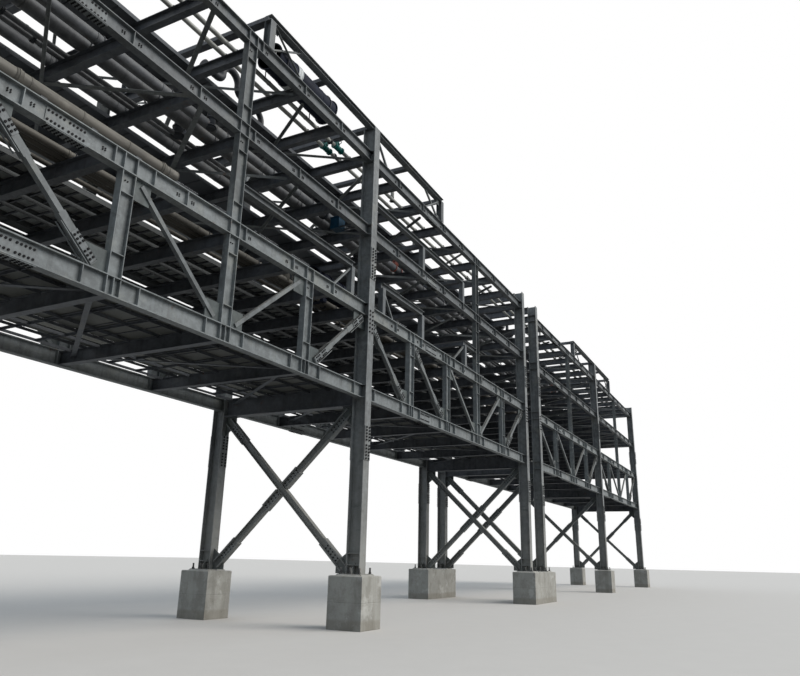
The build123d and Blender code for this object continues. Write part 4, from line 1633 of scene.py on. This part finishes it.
@dataclass
class SheetTrays:
    """Pressed ribs under sheet trays, and bolted joint plates on their rails."""

    node: str
    finish: Finishes
    slot: str
    rib_pitch: float = 0.29
    rib_width: float = 0.016
    rib_depth: float = 0.007
    rib_inset: float = 0.008
    joint_pitch: float = 2.4
    joint_half: float = 0.07
    joint_edge: float = 0.006
    joint_thickness: float = 0.003
    bolt_places: tuple[float, ...] = (-0.045, -0.015, 0.015, 0.045)
    bolt_radius: float = 0.006
    bolt_height: float = 0.005

    def build(self) -> None:
        """Build the fittings of every tray of the node."""
        ribs, joints = Shell(), Shell()
        half = self.rib_width / 2
        for tray in solids(self.node):
            near, far = tray.low.y + self.rib_inset, tray.high.y - self.rib_inset
            for x in evenly(tray.low.x, tray.size.x, max(1, round(tray.size.x / self.rib_pitch))):
                ribs.block((x - half, near, tray.low.z - self.rib_depth), (x + half, far, tray.low.z))
            count = int(tray.size.x / self.joint_pitch) + 1
            for k in range(1, count):
                x = tray.low.x + k * tray.size.x / count
                for y, out in ((tray.low.y, -1), (tray.high.y, 1)):
                    self.joint(tray, x, y, out, joints)
        ribs.piece(f"{self.node}_ribs", Finishes.DARK, self.slot)
        joints.piece(f"{self.node}_joints", self.finish, self.slot)

    def joint(self, tray: Box, x: float, y: float, out: int, joints: Shell) -> None:
        """Add one joint plate with its bolts.

        Args:
            tray: the tray.
            x: the joint's middle.
            y: the rail's outer face.
            out: 1 or -1, the side that the face looks to.
            joints: where the plate and the bolts go.
        """
        outer = y + out * self.joint_thickness
        corner = (x + self.joint_half, outer, tray.high.z - self.joint_edge)
        joints.block((x - self.joint_half, y, tray.low.z + self.joint_edge), corner)
        for dx in self.bolt_places:
            joints.bolt(Vector((x + dx, outer, tray.middle.z)), ACROSS * out, self.bolt_radius, self.bolt_height)


@dataclass
class FloorSteel:
    """Light angles along and across the bridge under the floor's trays, between its cross beams."""

    plan: BridgePlan
    leg: float = 0.032
    cross_leg: float = 0.0256
    wall: float = 0.004
    lines: tuple[float, ...] = (-0.98, -0.72, -0.40, 0.02, 0.255, 0.500, 0.700, 0.96)
    cross_pitch: float = 0.47
    inset: float = 0.06
    drop: float = 0.0075

    def build(self) -> None:
        """Build the angles of every panel."""
        shell = Shell()
        seat = node_box("floor_cable_trays").low.z - self.drop
        for left, right in (panel for span in self.plan.spans for panel in span.panels):
            start, end = left + self.inset, right - self.inset
            for y in self.lines:
                shell.angle(Vector((start, y, seat)), Vector((end, y, seat)), self.leg, self.wall, -UP)
            steps = round((end - start) / self.cross_pitch)
            for k in range(1, steps):
                x = start + (end - start) * k / steps
                near, far = Vector((x, self.lines[0], seat)), Vector((x, self.lines[-1], seat))
                shell.angle(near, far, self.cross_leg, self.wall, -UP)
        shell.piece("floor_angles", Finishes.CROSS, "floor_cross_beams_paint")


@dataclass
class TierSteel:
    """Second braces of a tier, as light angles under the flat ones."""

    leg: float = 0.036
    wall: float = 0.005
    inset: float = 0.05
    edge: float = 0.03
    drop: float = 0.001

    def build(self, tier: Tier) -> None:
        """Build the braces of one tier, each across a flat one.

        Args:
            tier: the tier.
        """
        shell = Shell()
        for index, bar in enumerate(solids(f"{tier}_plan_bracing")):
            near, far = bar.low.y + self.edge, bar.high.y - self.edge
            left, right = (near, far) if index % 2 else (far, near)
            level = bar.low.z - self.drop
            start = Vector((bar.low.x + self.inset, left, level))
            shell.angle(start, Vector((bar.high.x - self.inset, right, level)), self.leg, self.wall, -UP)
        shell.piece(f"{tier}_second_braces", Finishes.BRACE, f"{tier}_plan_bracing_paint")


@dataclass
class PipeFittings:
    """Cladding bands, flanges and U bolts on the pipes of one tier."""

    plan: BridgePlan
    tier: Tier
    finish: Finishes
    slot: str
    sides: int = 24
    band_pitch: float = 0.82
    band_shift: float = 0.21
    band_width: float = 0.022
    band_lift: float = 0.003
    band_margin: float = 0.03
    flange_pitch: float = 5.3
    flange_start: float = 1.3
    flange_shift: float = 0.37
    flange_margin: float = 0.2
    flange_places: tuple[float, float] = (-0.013, 0.002)
    flange_width: float = 0.011
    rim_share: float = 1.22
    rim_lift: float = 0.008
    bolts: int = 8
    bolt_half: float = 0.022
    wire: float = 0.005
    clamp_lift: float = 0.001
    nut_height: float = 0.010
    nut_radius: float = 0.011

    def build(self) -> None:
        """Build the fittings of every pipe of the tier."""
        bands, clamps = Shell(), Shell()
        for index, pipe in enumerate(solids(f"{self.tier}_pipes")):
            first = pipe.low.x + self.band_shift * (index + 1)
            for x in stepped(first, pipe.high.x - self.band_margin, self.band_pitch):
                bands.band(pipe, x, self.band_width, self.band_lift, self.sides)
            first = pipe.low.x + self.flange_start + self.flange_shift * index
            for x in stepped(first, pipe.high.x - self.flange_margin, self.flange_pitch):
                self.flange(pipe, x, clamps)
            for span in self.plan.spans:
                for x in (span.start, *span.crossings):
                    self.clamp(pipe, x, clamps)
        bands.piece(f"{self.tier}_pipe_bands", self.finish, self.slot)
        clamps.piece(f"{self.tier}_pipe_clamps", Finishes.DARK, self.slot)

    def flange(self, pipe: Box, x: float, shell: Shell) -> None:
        """Add a pair of bolted flanges round a pipe.

        Args:
            pipe: the pipe.
            x: where the two flanges meet.
            shell: where they go.
        """
        rim = pipe.radius * self.rim_share + self.rim_lift
        for step in self.flange_places:
            shell.band(pipe, x + step, self.flange_width, rim - pipe.radius, self.sides)
        ring, turn = (rim + pipe.radius) / 2, 0.5 / self.bolts
        seats = arc(pipe.axis_at(x - self.bolt_half), ACROSS * ring, UP * ring, turn, 1 + turn, self.bolts)
        for seat in seats[:-1]:
            shell.bolt(seat, ALONG, self.wire, 2 * self.bolt_half)

    def clamp(self, pipe: Box, x: float, shell: Shell) -> None:
        """Add a U bolt over a pipe, down to the cross beam on both sides.

        Args:
            pipe: the pipe.
            x: where the U bolt stands.
            shell: where it goes.
        """
        reach = pipe.radius + self.wire
        over = arc(pipe.axis_at(x), ACROSS * reach, UP * reach, 0.0, 0.5, 10)
        feet = [Vector((x, pipe.middle.y + out * reach, pipe.low.z + self.clamp_lift)) for out in (1, -1)]
        shell.tube([feet[0], *over, feet[1]], self.wire, 6)
        for foot in feet:
            shell.bolt(foot, UP, self.nut_radius, self.nut_height)


@dataclass
class ServicePipe:
    """Collars, seams, end ring and shoes of the dusty pipe on the near top chord."""

    collars: tuple[float, ...] = (0.49, 0.945)
    collar_steps: tuple[tuple[float, float], ...] = ((0.030, 0.004), (0.008, 0.009))
    seam_pitch: float = 0.48
    seam_width: float = 0.014
    seam_lift: float = 0.002
    seam_margin: float = 0.05
    end_width: float = 0.004
    end_lift: float = 0.003
    shoe_span: tuple[float, float] = (0.10, 0.16)
    shoe_half: float = 0.045
    shoe_height: float = 0.012
    sides: int = 36

    def build(self) -> None:
        """Build the pipe's fittings."""
        shell, shoes = Shell(), Shell()
        pipe = node_box("dusty_service_pipe")
        for share in self.collars:
            x = pipe.low.x + share * pipe.size.x
            for half, lift in self.collar_steps:
                shell.band(pipe, x - half, 2 * half, lift, self.sides)
        (near, far), low = self.shoe_span, pipe.low.z
        for x in stepped(pipe.low.x + self.seam_pitch / 2, pipe.high.x - self.seam_margin, self.seam_pitch):
            shell.band(pipe, x, self.seam_width, self.seam_lift, self.sides)
            corner = (x + far, pipe.middle.y + self.shoe_half, low + self.shoe_height)
            shoes.block((x + near, pipe.middle.y - self.shoe_half, low), corner)
        shell.band(pipe, pipe.high.x - self.end_width, self.end_width, self.end_lift, self.sides)
        shell.piece("service_pipe_collars", Finishes.LAGGING, "dusty_lagging")
        shoes.piece("service_pipe_shoes", Finishes.DARK, "dusty_lagging")


@dataclass
class VentDuct:
    """Seams, end flanges, hoops and a grille ring of the duct in the first raised frame; the ring's pale tone is a
    painted highlight.
    """

    seams: int = 2
    seam_width: float = 0.010
    seam_lift: float = 0.003
    end_width: float = 0.012
    end_lift: float = 0.018
    ring_at: float = 0.30
    ring_width: float = 0.10
    ring_lift: float = 0.006
    rib_steps: tuple[float, ...] = (0.0, 0.045, 0.09)
    rib_width: float = 0.010
    rib_lift: float = 0.010
    hoop_shares: tuple[float, ...] = (0.12, 0.88)
    hoop_turns: tuple[float, float] = (-0.03, 0.53)
    hoop_lift: float = 0.006
    hoop_foot: float = 0.001
    hoop_radius: float = 0.007
    sides: int = 48
    slot: str = "vent_duct_sheet"

    def build(self) -> None:
        """Build the duct's fittings."""
        shell, ring, straps = Shell(), Shell(), Shell()
        duct = node_box("vent_duct")
        start, length = duct.low.x, duct.size.x
        for x in evenly(start, length, self.seams):
            shell.band(duct, x, self.seam_width, self.seam_lift, self.sides)
        for x in (start, duct.high.x - self.end_width):
            shell.band(duct, x, self.end_width, self.end_lift, self.sides)
        x = start + self.ring_at * length
        ring.band(duct, x, self.ring_width, self.ring_lift, self.sides)
        for step in self.rib_steps:
            ring.band(duct, x + step, self.rib_width, self.rib_lift, self.sides)
        reach = duct.radius + self.hoop_lift
        for share in self.hoop_shares:
            hoop = arc(duct.axis_at(start + share * length), ACROSS * reach, UP * reach, *self.hoop_turns, 24)
            feet = [Vector((tip.x, tip.y, duct.low.z + self.hoop_foot)) for tip in (hoop[0], hoop[-1])]
            straps.tube([feet[0], *hoop, feet[1]], self.hoop_radius, 8)
        shell.piece("vent_duct_seams", Finishes.DUCT, self.slot)
        # The ring's pale zinc is a painted highlight
        ring.piece("vent_duct_grille_highlight", Finishes.GRILLE, self.slot)
        straps.piece("vent_duct_straps", Finishes.DARK, self.slot)


@dataclass
class RaisedFrameSteel:
    """Crossed angles, corner plates and bolts between the tier four beams and the raised rails."""

    leg: float = 0.028
    wall: float = 0.004
    run: float = 0.55
    end_gap: float = 0.02
    offsets: tuple[float, float] = (0.006, -0.010)
    plate_half: float = 0.004
    plate_width: float = 0.10
    plate_height: float = 0.09
    bolt_places: tuple[float, ...] = (0.035, 0.070)
    bolt_radius: float = 0.008
    bolt_height: float = 0.009

    def build(self) -> None:
        """Build the crossed angles at both ends of each raised frame."""
        shell, bolts = Shell(), Shell()
        for post in solids("raised_frame_posts"):
            rail = min(solids("raised_frame_rails"), key=lambda box: (box.middle - post.middle).length)
            way = 1 if rail.middle.x > post.middle.x else -1
            face = Vector((post.middle.x + way * post.size.x / 2, post.middle.y, 0))
            foot, head = post.low.z + self.end_gap, post.high.z - self.end_gap
            for start, end, offset in zip((foot, head), (head, foot), self.offsets):
                near = face + ACROSS * offset
                far = near + ALONG * way * self.run
                shell.angle(near + UP * start, far + UP * end, self.leg, self.wall)
            for z in (post.low.z, post.high.z - self.plate_height):
                self.corner_plate(face + UP * z, way, shell, bolts)
        shell.piece("raised_frame_angles", Finishes.BRACE, "raised_frame_posts_paint")
        bolts.piece("raised_frame_bolts", Finishes.BOLT, "raised_frame_posts_paint")

    def corner_plate(self, foot: Vector, way: int, plates: Shell, bolts: Shell) -> None:
        """Add one corner plate with bolts on both faces.

        Args:
            foot: the plate's lower corner on the post.
            way: 1 or -1, the way it reaches from the post.
            plates: where the plate goes.
            bolts: where the bolts go.
        """
        reach = Vector((way * self.plate_width, self.plate_half, self.plate_height))
        plates.block(foot - ACROSS * self.plate_half, foot + reach)
        for dx in self.bolt_places:
            for out in (1, -1):
                seat = foot + Vector((way * dx, out * self.plate_half, self.plate_height / 2))
                bolts.bolt(seat, ACROSS * out, self.bolt_radius, self.bolt_height)


@dataclass(frozen=True)
class Loop:
    """A pipe loop: middle and reach of its arch, the pipe's radius and the level run at each end."""

    x: float
    y: float
    reach: float
    radius: float
    run: float


@dataclass
class PipeLoops:
    """Loops of tier four: pipes that rise in an arch and go on level at both ends."""

    loops: tuple[Loop, ...] = (
        Loop(-9.14, -0.28, 0.150, 0.048, 0.24),
        Loop(-8.35, -0.05, 0.140, 0.042, 0.28),
        Loop(1.90, -0.20, 0.140, 0.040, 0.26),
    )
    bend: float = 0.04
    arch_lift: float = 0.02
    flange_width: float = 0.016
    flange_share: float = 1.5
    sides: int = 20

    def build(self) -> None:
        """Build all loops."""
        shell = Shell()
        for loop in self.loops:
            bend = self.bend + loop.radius
            middle = Vector((loop.x, loop.y, Tier.FOURTH.seat + loop.radius + bend))
            step = ALONG * (loop.reach + bend)
            path = arc(middle - step, ALONG * bend, UP * bend, -0.25, 0.0, 6)
            path += arc(middle + UP * self.arch_lift, ALONG * loop.reach, UP * loop.reach, 0.5, 0.0, 16)
            path += arc(middle + step, ALONG * bend, UP * bend, 0.5, 0.75, 6)
            path = [path[0] - ALONG * loop.run, *path, path[-1] + ALONG * loop.run]
            shell.tube(path, loop.radius, self.sides)
            for end, way in ((path[0], -1), (path[-1], 1)):
                shell.rod(end, end + ALONG * way * self.flange_width, loop.radius * self.flange_share, self.sides)
        shell.piece("tier4_pipe_bends", Finishes.DARK, "tier3_pipe_steel")


@dataclass
class Risers:
    """Dark elbows of tier three as (x, y, radius), and upright pipe ends of tier four as (x, y, height)."""

    elbows: tuple[Triple, ...] = ((-9.95, -0.35, 0.055), (-9.91, -0.80, 0.05), (-6.2, -0.5, 0.045), (-3.1, -0.62, 0.05))
    elbow_rise: float = 0.16
    elbow_bend: float = 0.09
    elbow_run: float = 0.35
    collar_levels: tuple[float, ...] = (0.02, 0.12)
    collar_lift: float = 0.018
    stubs: tuple[Triple, ...] = ((-5.6, -0.8, 0.33), (-3.85, -0.35, 0.28), (3.2, -0.75, 0.30), (10.1, -0.5, 0.3))
    stub_radius: float = 0.030
    foot_radius: float = 0.048
    cap_radius: float = 0.040
    cap_height: float = 0.02
    ring_height: float = 0.012
    sides: int = 20

    def build(self) -> None:
        """Build the elbows and the upright ends."""
        shell, pale = Shell(), Shell()
        bend = self.elbow_bend
        for x, y, radius in self.elbows:
            seat = Vector((x, y, Tier.THIRD.seat))
            corner = seat + UP * (radius + self.elbow_rise)
            turn = arc(corner - ALONG * bend, ALONG * bend, UP * bend, 0.0, 0.25, 8)
            shell.tube([seat, *turn, turn[-1] - ALONG * self.elbow_run], radius, self.sides)
            for level in self.collar_levels:
                self.ring(seat + UP * level, self.ring_height, radius + self.collar_lift, shell)
        for x, y, height in self.stubs:
            seat = Vector((x, y, Tier.FOURTH.seat))
            self.ring(seat, height, self.stub_radius, pale)
            self.ring(seat, self.ring_height, self.foot_radius, pale)
            self.ring(seat + UP * (height - self.cap_height), self.cap_height, self.cap_radius, pale)
        shell.piece("tier3_pipe_elbows", Finishes.DARK, "tier3_pipe_steel")
        pale.piece("tier4_pipe_stubs", Finishes.PALE_LAGGING, "tier4_pipe_lagging")

    def ring(self, foot: Vector, height: float, radius: float, shell: Shell) -> None:
        """Add an upright round part."""
        shell.rod(foot, foot + UP * height, radius, self.sides)


@dataclass
class Valves:
    """Teal valves of tier four, and the blue box and red valves of tier three.

    Lifts are heights of the valves' middles over the cross beams, and shares are parts of a flange's radius.
    """

    teal_places: tuple[tuple[float, float], ...] = ((-7.402, -0.640), (-7.341, -0.808))
    teal_lift: float = 0.028
    teal_radius: float = 0.052
    red_places: tuple[tuple[float, float], ...] = ((-5.34, -0.77), (4.2, -0.77))
    red_lift: float = 0.058
    red_radius: float = 0.07
    body_places: tuple[float, ...] = (-0.10, -0.085, -0.05, 0.05, 0.085, 0.10)
    body_shares: tuple[float, ...] = (1.0, 0.62, 0.82, 0.62, 1.0)
    stem_share: float = 0.32
    stem_height: float = 2.0
    gland_share: float = 0.6
    gland_levels: tuple[float, float] = (1.1, 1.25)
    wheel_share: float = 0.95
    wheel_end: float = 0.97
    rim_share: float = 0.11
    spoke_share: float = 0.07
    spokes: tuple[float, ...] = (0.0, 0.25, 0.5, 0.75)
    box_middle: Triple = (-7.43, -0.935, 5.30)
    box_reach: Triple = (0.078, 0.070, 0.082)
    lid_over: float = 0.008
    lid_half: float = 0.007
    bracket_places: tuple[float, ...] = (-0.05, 0.05)
    bracket_half: float = 0.015
    bracket_thickness: float = 0.008
    bracket_laps: tuple[float, float] = (0.03, 0.004)
    slot: str = "tier3_pipe_steel"

    def build(self) -> None:
        """Build the valves and the box."""
        body, wheel, box, red = Shell(), Shell(), Shell(), Shell()
        for x, y in self.teal_places:
            self.valve(Vector((x, y, Tier.FOURTH.seat + self.teal_lift)), self.teal_radius, body, wheel)
        self.switch_box(box, wheel)
        for x, y in self.red_places:
            self.valve(Vector((x, y, Tier.THIRD.seat + self.red_lift)), self.red_radius, red, red)
        body.piece("tier4_valves", Finishes.TEAL, self.slot)
        wheel.piece("tier4_handwheels", Finishes.DARK, self.slot)
        box.piece("tier3_switch_box", Finishes.BLUE, self.slot)
        red.piece("tier3_red_valves", Finishes.RED, self.slot)

    def valve(self, middle: Vector, radius: float, body: Shell, wheel: Shell) -> None:
        """Add one valve: a body between two flanges, with a stem and a handwheel.

        Args:
            middle: the body's middle.
            radius: radius of its flanges.
            body: where the body goes.
            wheel: where the handwheel goes.
        """
        for start, end, share in zip(self.body_places, self.body_places[1:], self.body_shares):
            body.rod(middle + ALONG * start, middle + ALONG * end, radius * share, 20)
        hub = middle + UP * radius * self.stem_height
        body.rod(middle, hub, radius * self.stem_share)
        low, high = (middle + UP * radius * level for level in self.gland_levels)
        body.rod(low, high, radius * self.gland_share, 16)
        rim = radius * self.wheel_share
        wheel.tube(arc(hub, ALONG * rim, ACROSS * rim, 0.0, self.wheel_end, 20), radius * self.rim_share, 8)
        for turn in self.spokes:
            wheel.rod(hub, arc(hub, ALONG * rim, ACROSS * rim, turn, turn, 1)[0], radius * self.spoke_share, 6)

    def switch_box(self, box: Shell, brackets: Shell) -> None:
        """Add the box with its lid, and two brackets that hang it under the near beam.

        Args:
            box: where the box goes.
            brackets: where the brackets go.
        """
        beam = node_box("near_tier3_beam")
        middle, reach = Vector(self.box_middle), Vector(self.box_reach)
        box.block(middle - reach, middle + reach)
        lid, head = Vector((reach.x + self.lid_over, reach.y + self.lid_over, self.lid_half)), middle + UP * reach.z
        box.block(head - lid, head + lid)
        beam_lap, box_lap = self.bracket_laps
        for x in (middle.x + step for step in self.bracket_places):
            start = (x - self.bracket_half, beam.high.y - beam_lap, beam.low.z - self.bracket_thickness)
            brackets.block(start, (x + self.bracket_half, middle.y - reach.y + box_lap, beam.low.z))


@dataclass
class Drum:
    """A dark drum on tier two beside the second bent, put there as painted shade for the deep shadow under that tier,
    and its beige bend; heights are over the cross beams.
    """

    place: Triple = (-7.55, -0.60, 0.31)
    length: float = 0.95
    radius: float = 0.17
    hoops: tuple[float, ...] = (0.0, 0.31, 0.62, 0.93)
    hoop_width: float = 0.016
    hoop_radius: float = 0.182
    cradles: tuple[float, ...] = (0.15, 0.78)
    saddle: tuple[Triple, Triple] = ((0.0, -0.12, 0.05), (0.03, 0.12, 0.20))
    sole: tuple[Triple, Triple] = ((-0.03, -0.16, 0.0), (0.06, 0.16, 0.05))
    sides: int = 36
    bend_place: Triple = (-8.05, -0.66, 0.20)
    bend_reach: float = 0.13
    bend_radius: float = 0.062
    slot: str = "tier2_pipe_lagging"

    def build(self) -> None:
        """Build the drum and the bend."""
        shell, bend = Shell(), Shell()
        seat = UP * Tier.SECOND.seat
        start = Vector(self.place) + seat
        shell.rod(start, start + ALONG * self.length, self.radius, self.sides)
        for x in self.hoops:
            shell.rod(start + ALONG * x, start + ALONG * (x + self.hoop_width), self.hoop_radius, self.sides)
        for x in self.cradles:
            corner = Vector((start.x + x, start.y, seat.z))
            for low, high in (self.saddle, self.sole):
                shell.block(corner + Vector(low), corner + Vector(high))
        reach = self.bend_reach
        turn = arc(Vector(self.bend_place) + seat, ALONG * reach, UP * reach, 0.0, 0.5, 14)
        feet = [Vector((tip.x, tip.y, seat.z)) for tip in (turn[0], turn[-1])]
        bend.tube([feet[0], *turn, feet[1]], self.bend_radius, 24)
        # Painted shade: the drum's very dark sheet fills a place that is deep shadow
        shell.piece("tier2_shade_drum", Finishes.DUCT, self.slot)
        bend.piece("tier2_pipe_bend", Finishes.LAGGING, self.slot)


@dataclass
class Studio:
    """Floor, lamp, sky and camera."""

    camera_place: Triple = (-14.985, -5.9225, 0.8355)
    yaw: float = 1.08834
    pitch: float = 0.302812
    roll: float = 0.0222695
    lens: float = 31.73
    sensor: float = 36.0
    far_clip: float = 500.0
    sun_way: Triple = (-0.25, 0.75, -0.6)
    sun_strength: float = 2.6
    sun_colour: Colour = (1.0, 0.975, 0.94)
    sun_angle: float = 45.0
    sky_strength: float = 0.72
    sky_colour: Colour = (0.74, 0.86, 1.0)
    white: Colour = (1.0, 1.0, 1.0)
    floor_size: float = 220.0
    floor_colour: Colour = (0.56, 0.53, 0.49)
    floor_bounce: Colour = (0.235, 0.23, 0.218)

    def build(self) -> None:
        """Set up all of the studio."""
        self.camera()
        self.lamp()
        self.sky()
        self.floor()
        bpy.context.scene.view_settings.view_transform = "Standard"

    def placed(self, name: str, data: bpy.types.ID) -> bpy.types.Object:
        """Add an object of the studio to the scene.

        Args:
            name: its name.
            data: its camera, light or mesh.

        Returns:
            The new object.
        """
        item = bpy.data.objects.new(name, data)
        item.rotation_mode = "QUATERNION"
        bpy.context.scene.collection.objects.link(item)
        return item

    def camera(self) -> None:
        """Place the camera at the photograph's viewing angle."""
        data = bpy.data.cameras.new("photo_camera")
        data.sensor_width = self.sensor
        data.lens = self.lens
        data.clip_end = self.far_clip
        camera = self.placed("photo_camera", data)
        level = math.cos(self.pitch)
        ahead = Vector((math.sin(self.yaw) * level, math.cos(self.yaw) * level, math.sin(self.pitch)))
        camera.location = self.camera_place
        camera.rotation_quaternion = ahead.to_track_quat("-Z", "Y") @ Quaternion(UP, self.roll)
        bpy.context.scene.camera = camera

    def lamp(self) -> None:
        """Add one wide soft sun that lights the near side."""
        data = bpy.data.lights.new("soft_sun", "SUN")
        data.energy = self.sun_strength
        data.color = self.sun_colour
        data.angle = math.radians(self.sun_angle)
        self.placed("soft_sun", data).rotation_quaternion = Vector(self.sun_way).to_track_quat("-Z", "Y")

    def sky(self) -> None:
        """Light the object evenly, and show white behind it and in its gloss."""
        bpy.context.scene.world = bpy.data.worlds.new("studio_sky")
        shader = Shader(bpy.context.scene.world)
        light, white = (
            shader.signal("ShaderNodeBackground", "Background", {}, {"Color": colour, "Strength": strength})
            for colour, strength in ((self.sky_colour, self.sky_strength), (self.white, 1.0))
        )
        sockets = {0: shader.seen_directly(), 1: light, 2: white}
        shader.finished(shader.signal("ShaderNodeMixShader", "Shader", {}, sockets))

    def floor(self) -> None:
        """Lay a plain pale floor under the plinths, which throws little light back up."""
        half = self.floor_size / 2
        mesh = bpy.data.meshes.new("studio_floor")
        mesh.from_pydata([(-half, -half, 0), (half, -half, 0), (half, half, 0), (-half, half, 0)], [], [(0, 1, 2, 3)])
        shader = Shader.named("floor_pale")
        grain = shader.noise(3.0, 5.0)
        pale = shader.surface(shader.scaled(self.floor_colour, 0.97 + 0.06 * grain), 0.9, grain, 0.002, sheen=0.2)
        dull = shader.signal("ShaderNodeBsdfDiffuse", "BSDF", {}, {"Color": self.floor_bounce})
        sockets = {0: shader.seen_directly(), 1: dull, 2: pale}
        mesh.materials.append(shader.finished(shader.signal("ShaderNodeMixShader", "Shader", {}, sockets)))
        self.placed("studio_floor", mesh)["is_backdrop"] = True


def dress_nodes() -> None:
    """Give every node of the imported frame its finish."""
    for finish, names in NODE_FINISHES.items():
        for name in names.split():
            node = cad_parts[name]
            node.data.materials.clear()
            node.data.materials.append(finish.material())


def main() -> None:
    """Build the studio, dress the frame and add every sub-assembly."""
    logging.basicConfig(level=logging.INFO, format="%(message)s")
    plan = BridgePlan.read()
    Studio().build()
    dress_nodes()
    for line in plan.lines:
        WebStiffeners(plan).build(line)
        if not line.is_floor:
            ConnectionBolts(plan).build(line)
        BeamSplices(plan).build(line)
    for side in Side:
        for assembly in (ColumnJoints, Diagonals, TrussGussets, PostPlates):
            assembly(plan).build(side)
    Feet().build()
    BentBraces(plan).build()
    LadderTrays().build()
    SheetTrays("floor_cable_trays", Finishes.FLOOR_TRAY, "floor_tray_galvanised").build()
    SheetTrays("upper_cable_trays", Finishes.UPPER_TRAY, "upper_tray_galvanised").build()
    FloorSteel(plan).build()
    TierSteel().build(Tier.THIRD)
    TierSteel().build(Tier.FOURTH)
    PipeFittings(plan, Tier.SECOND, Finishes.PIPE_LAGGING, "tier2_pipe_lagging").build()
    PipeFittings(plan, Tier.THIRD, Finishes.PIPE, "tier3_pipe_steel").build()
    PipeFittings(plan, Tier.FOURTH, Finishes.PALE_LAGGING, "tier4_pipe_lagging").build()
    for assembly in (ServicePipe, VentDuct, RaisedFrameSteel, PipeLoops, Risers, Valves, Drum):
        assembly().build()
    bpy.context.view_layer.update()
    boxes = {"cad": cad_box, "visual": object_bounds()}
    {name: [list(low), list(high)] for name, (low, high) in boxes.items()}


if __name__ == "__main__":
    main()
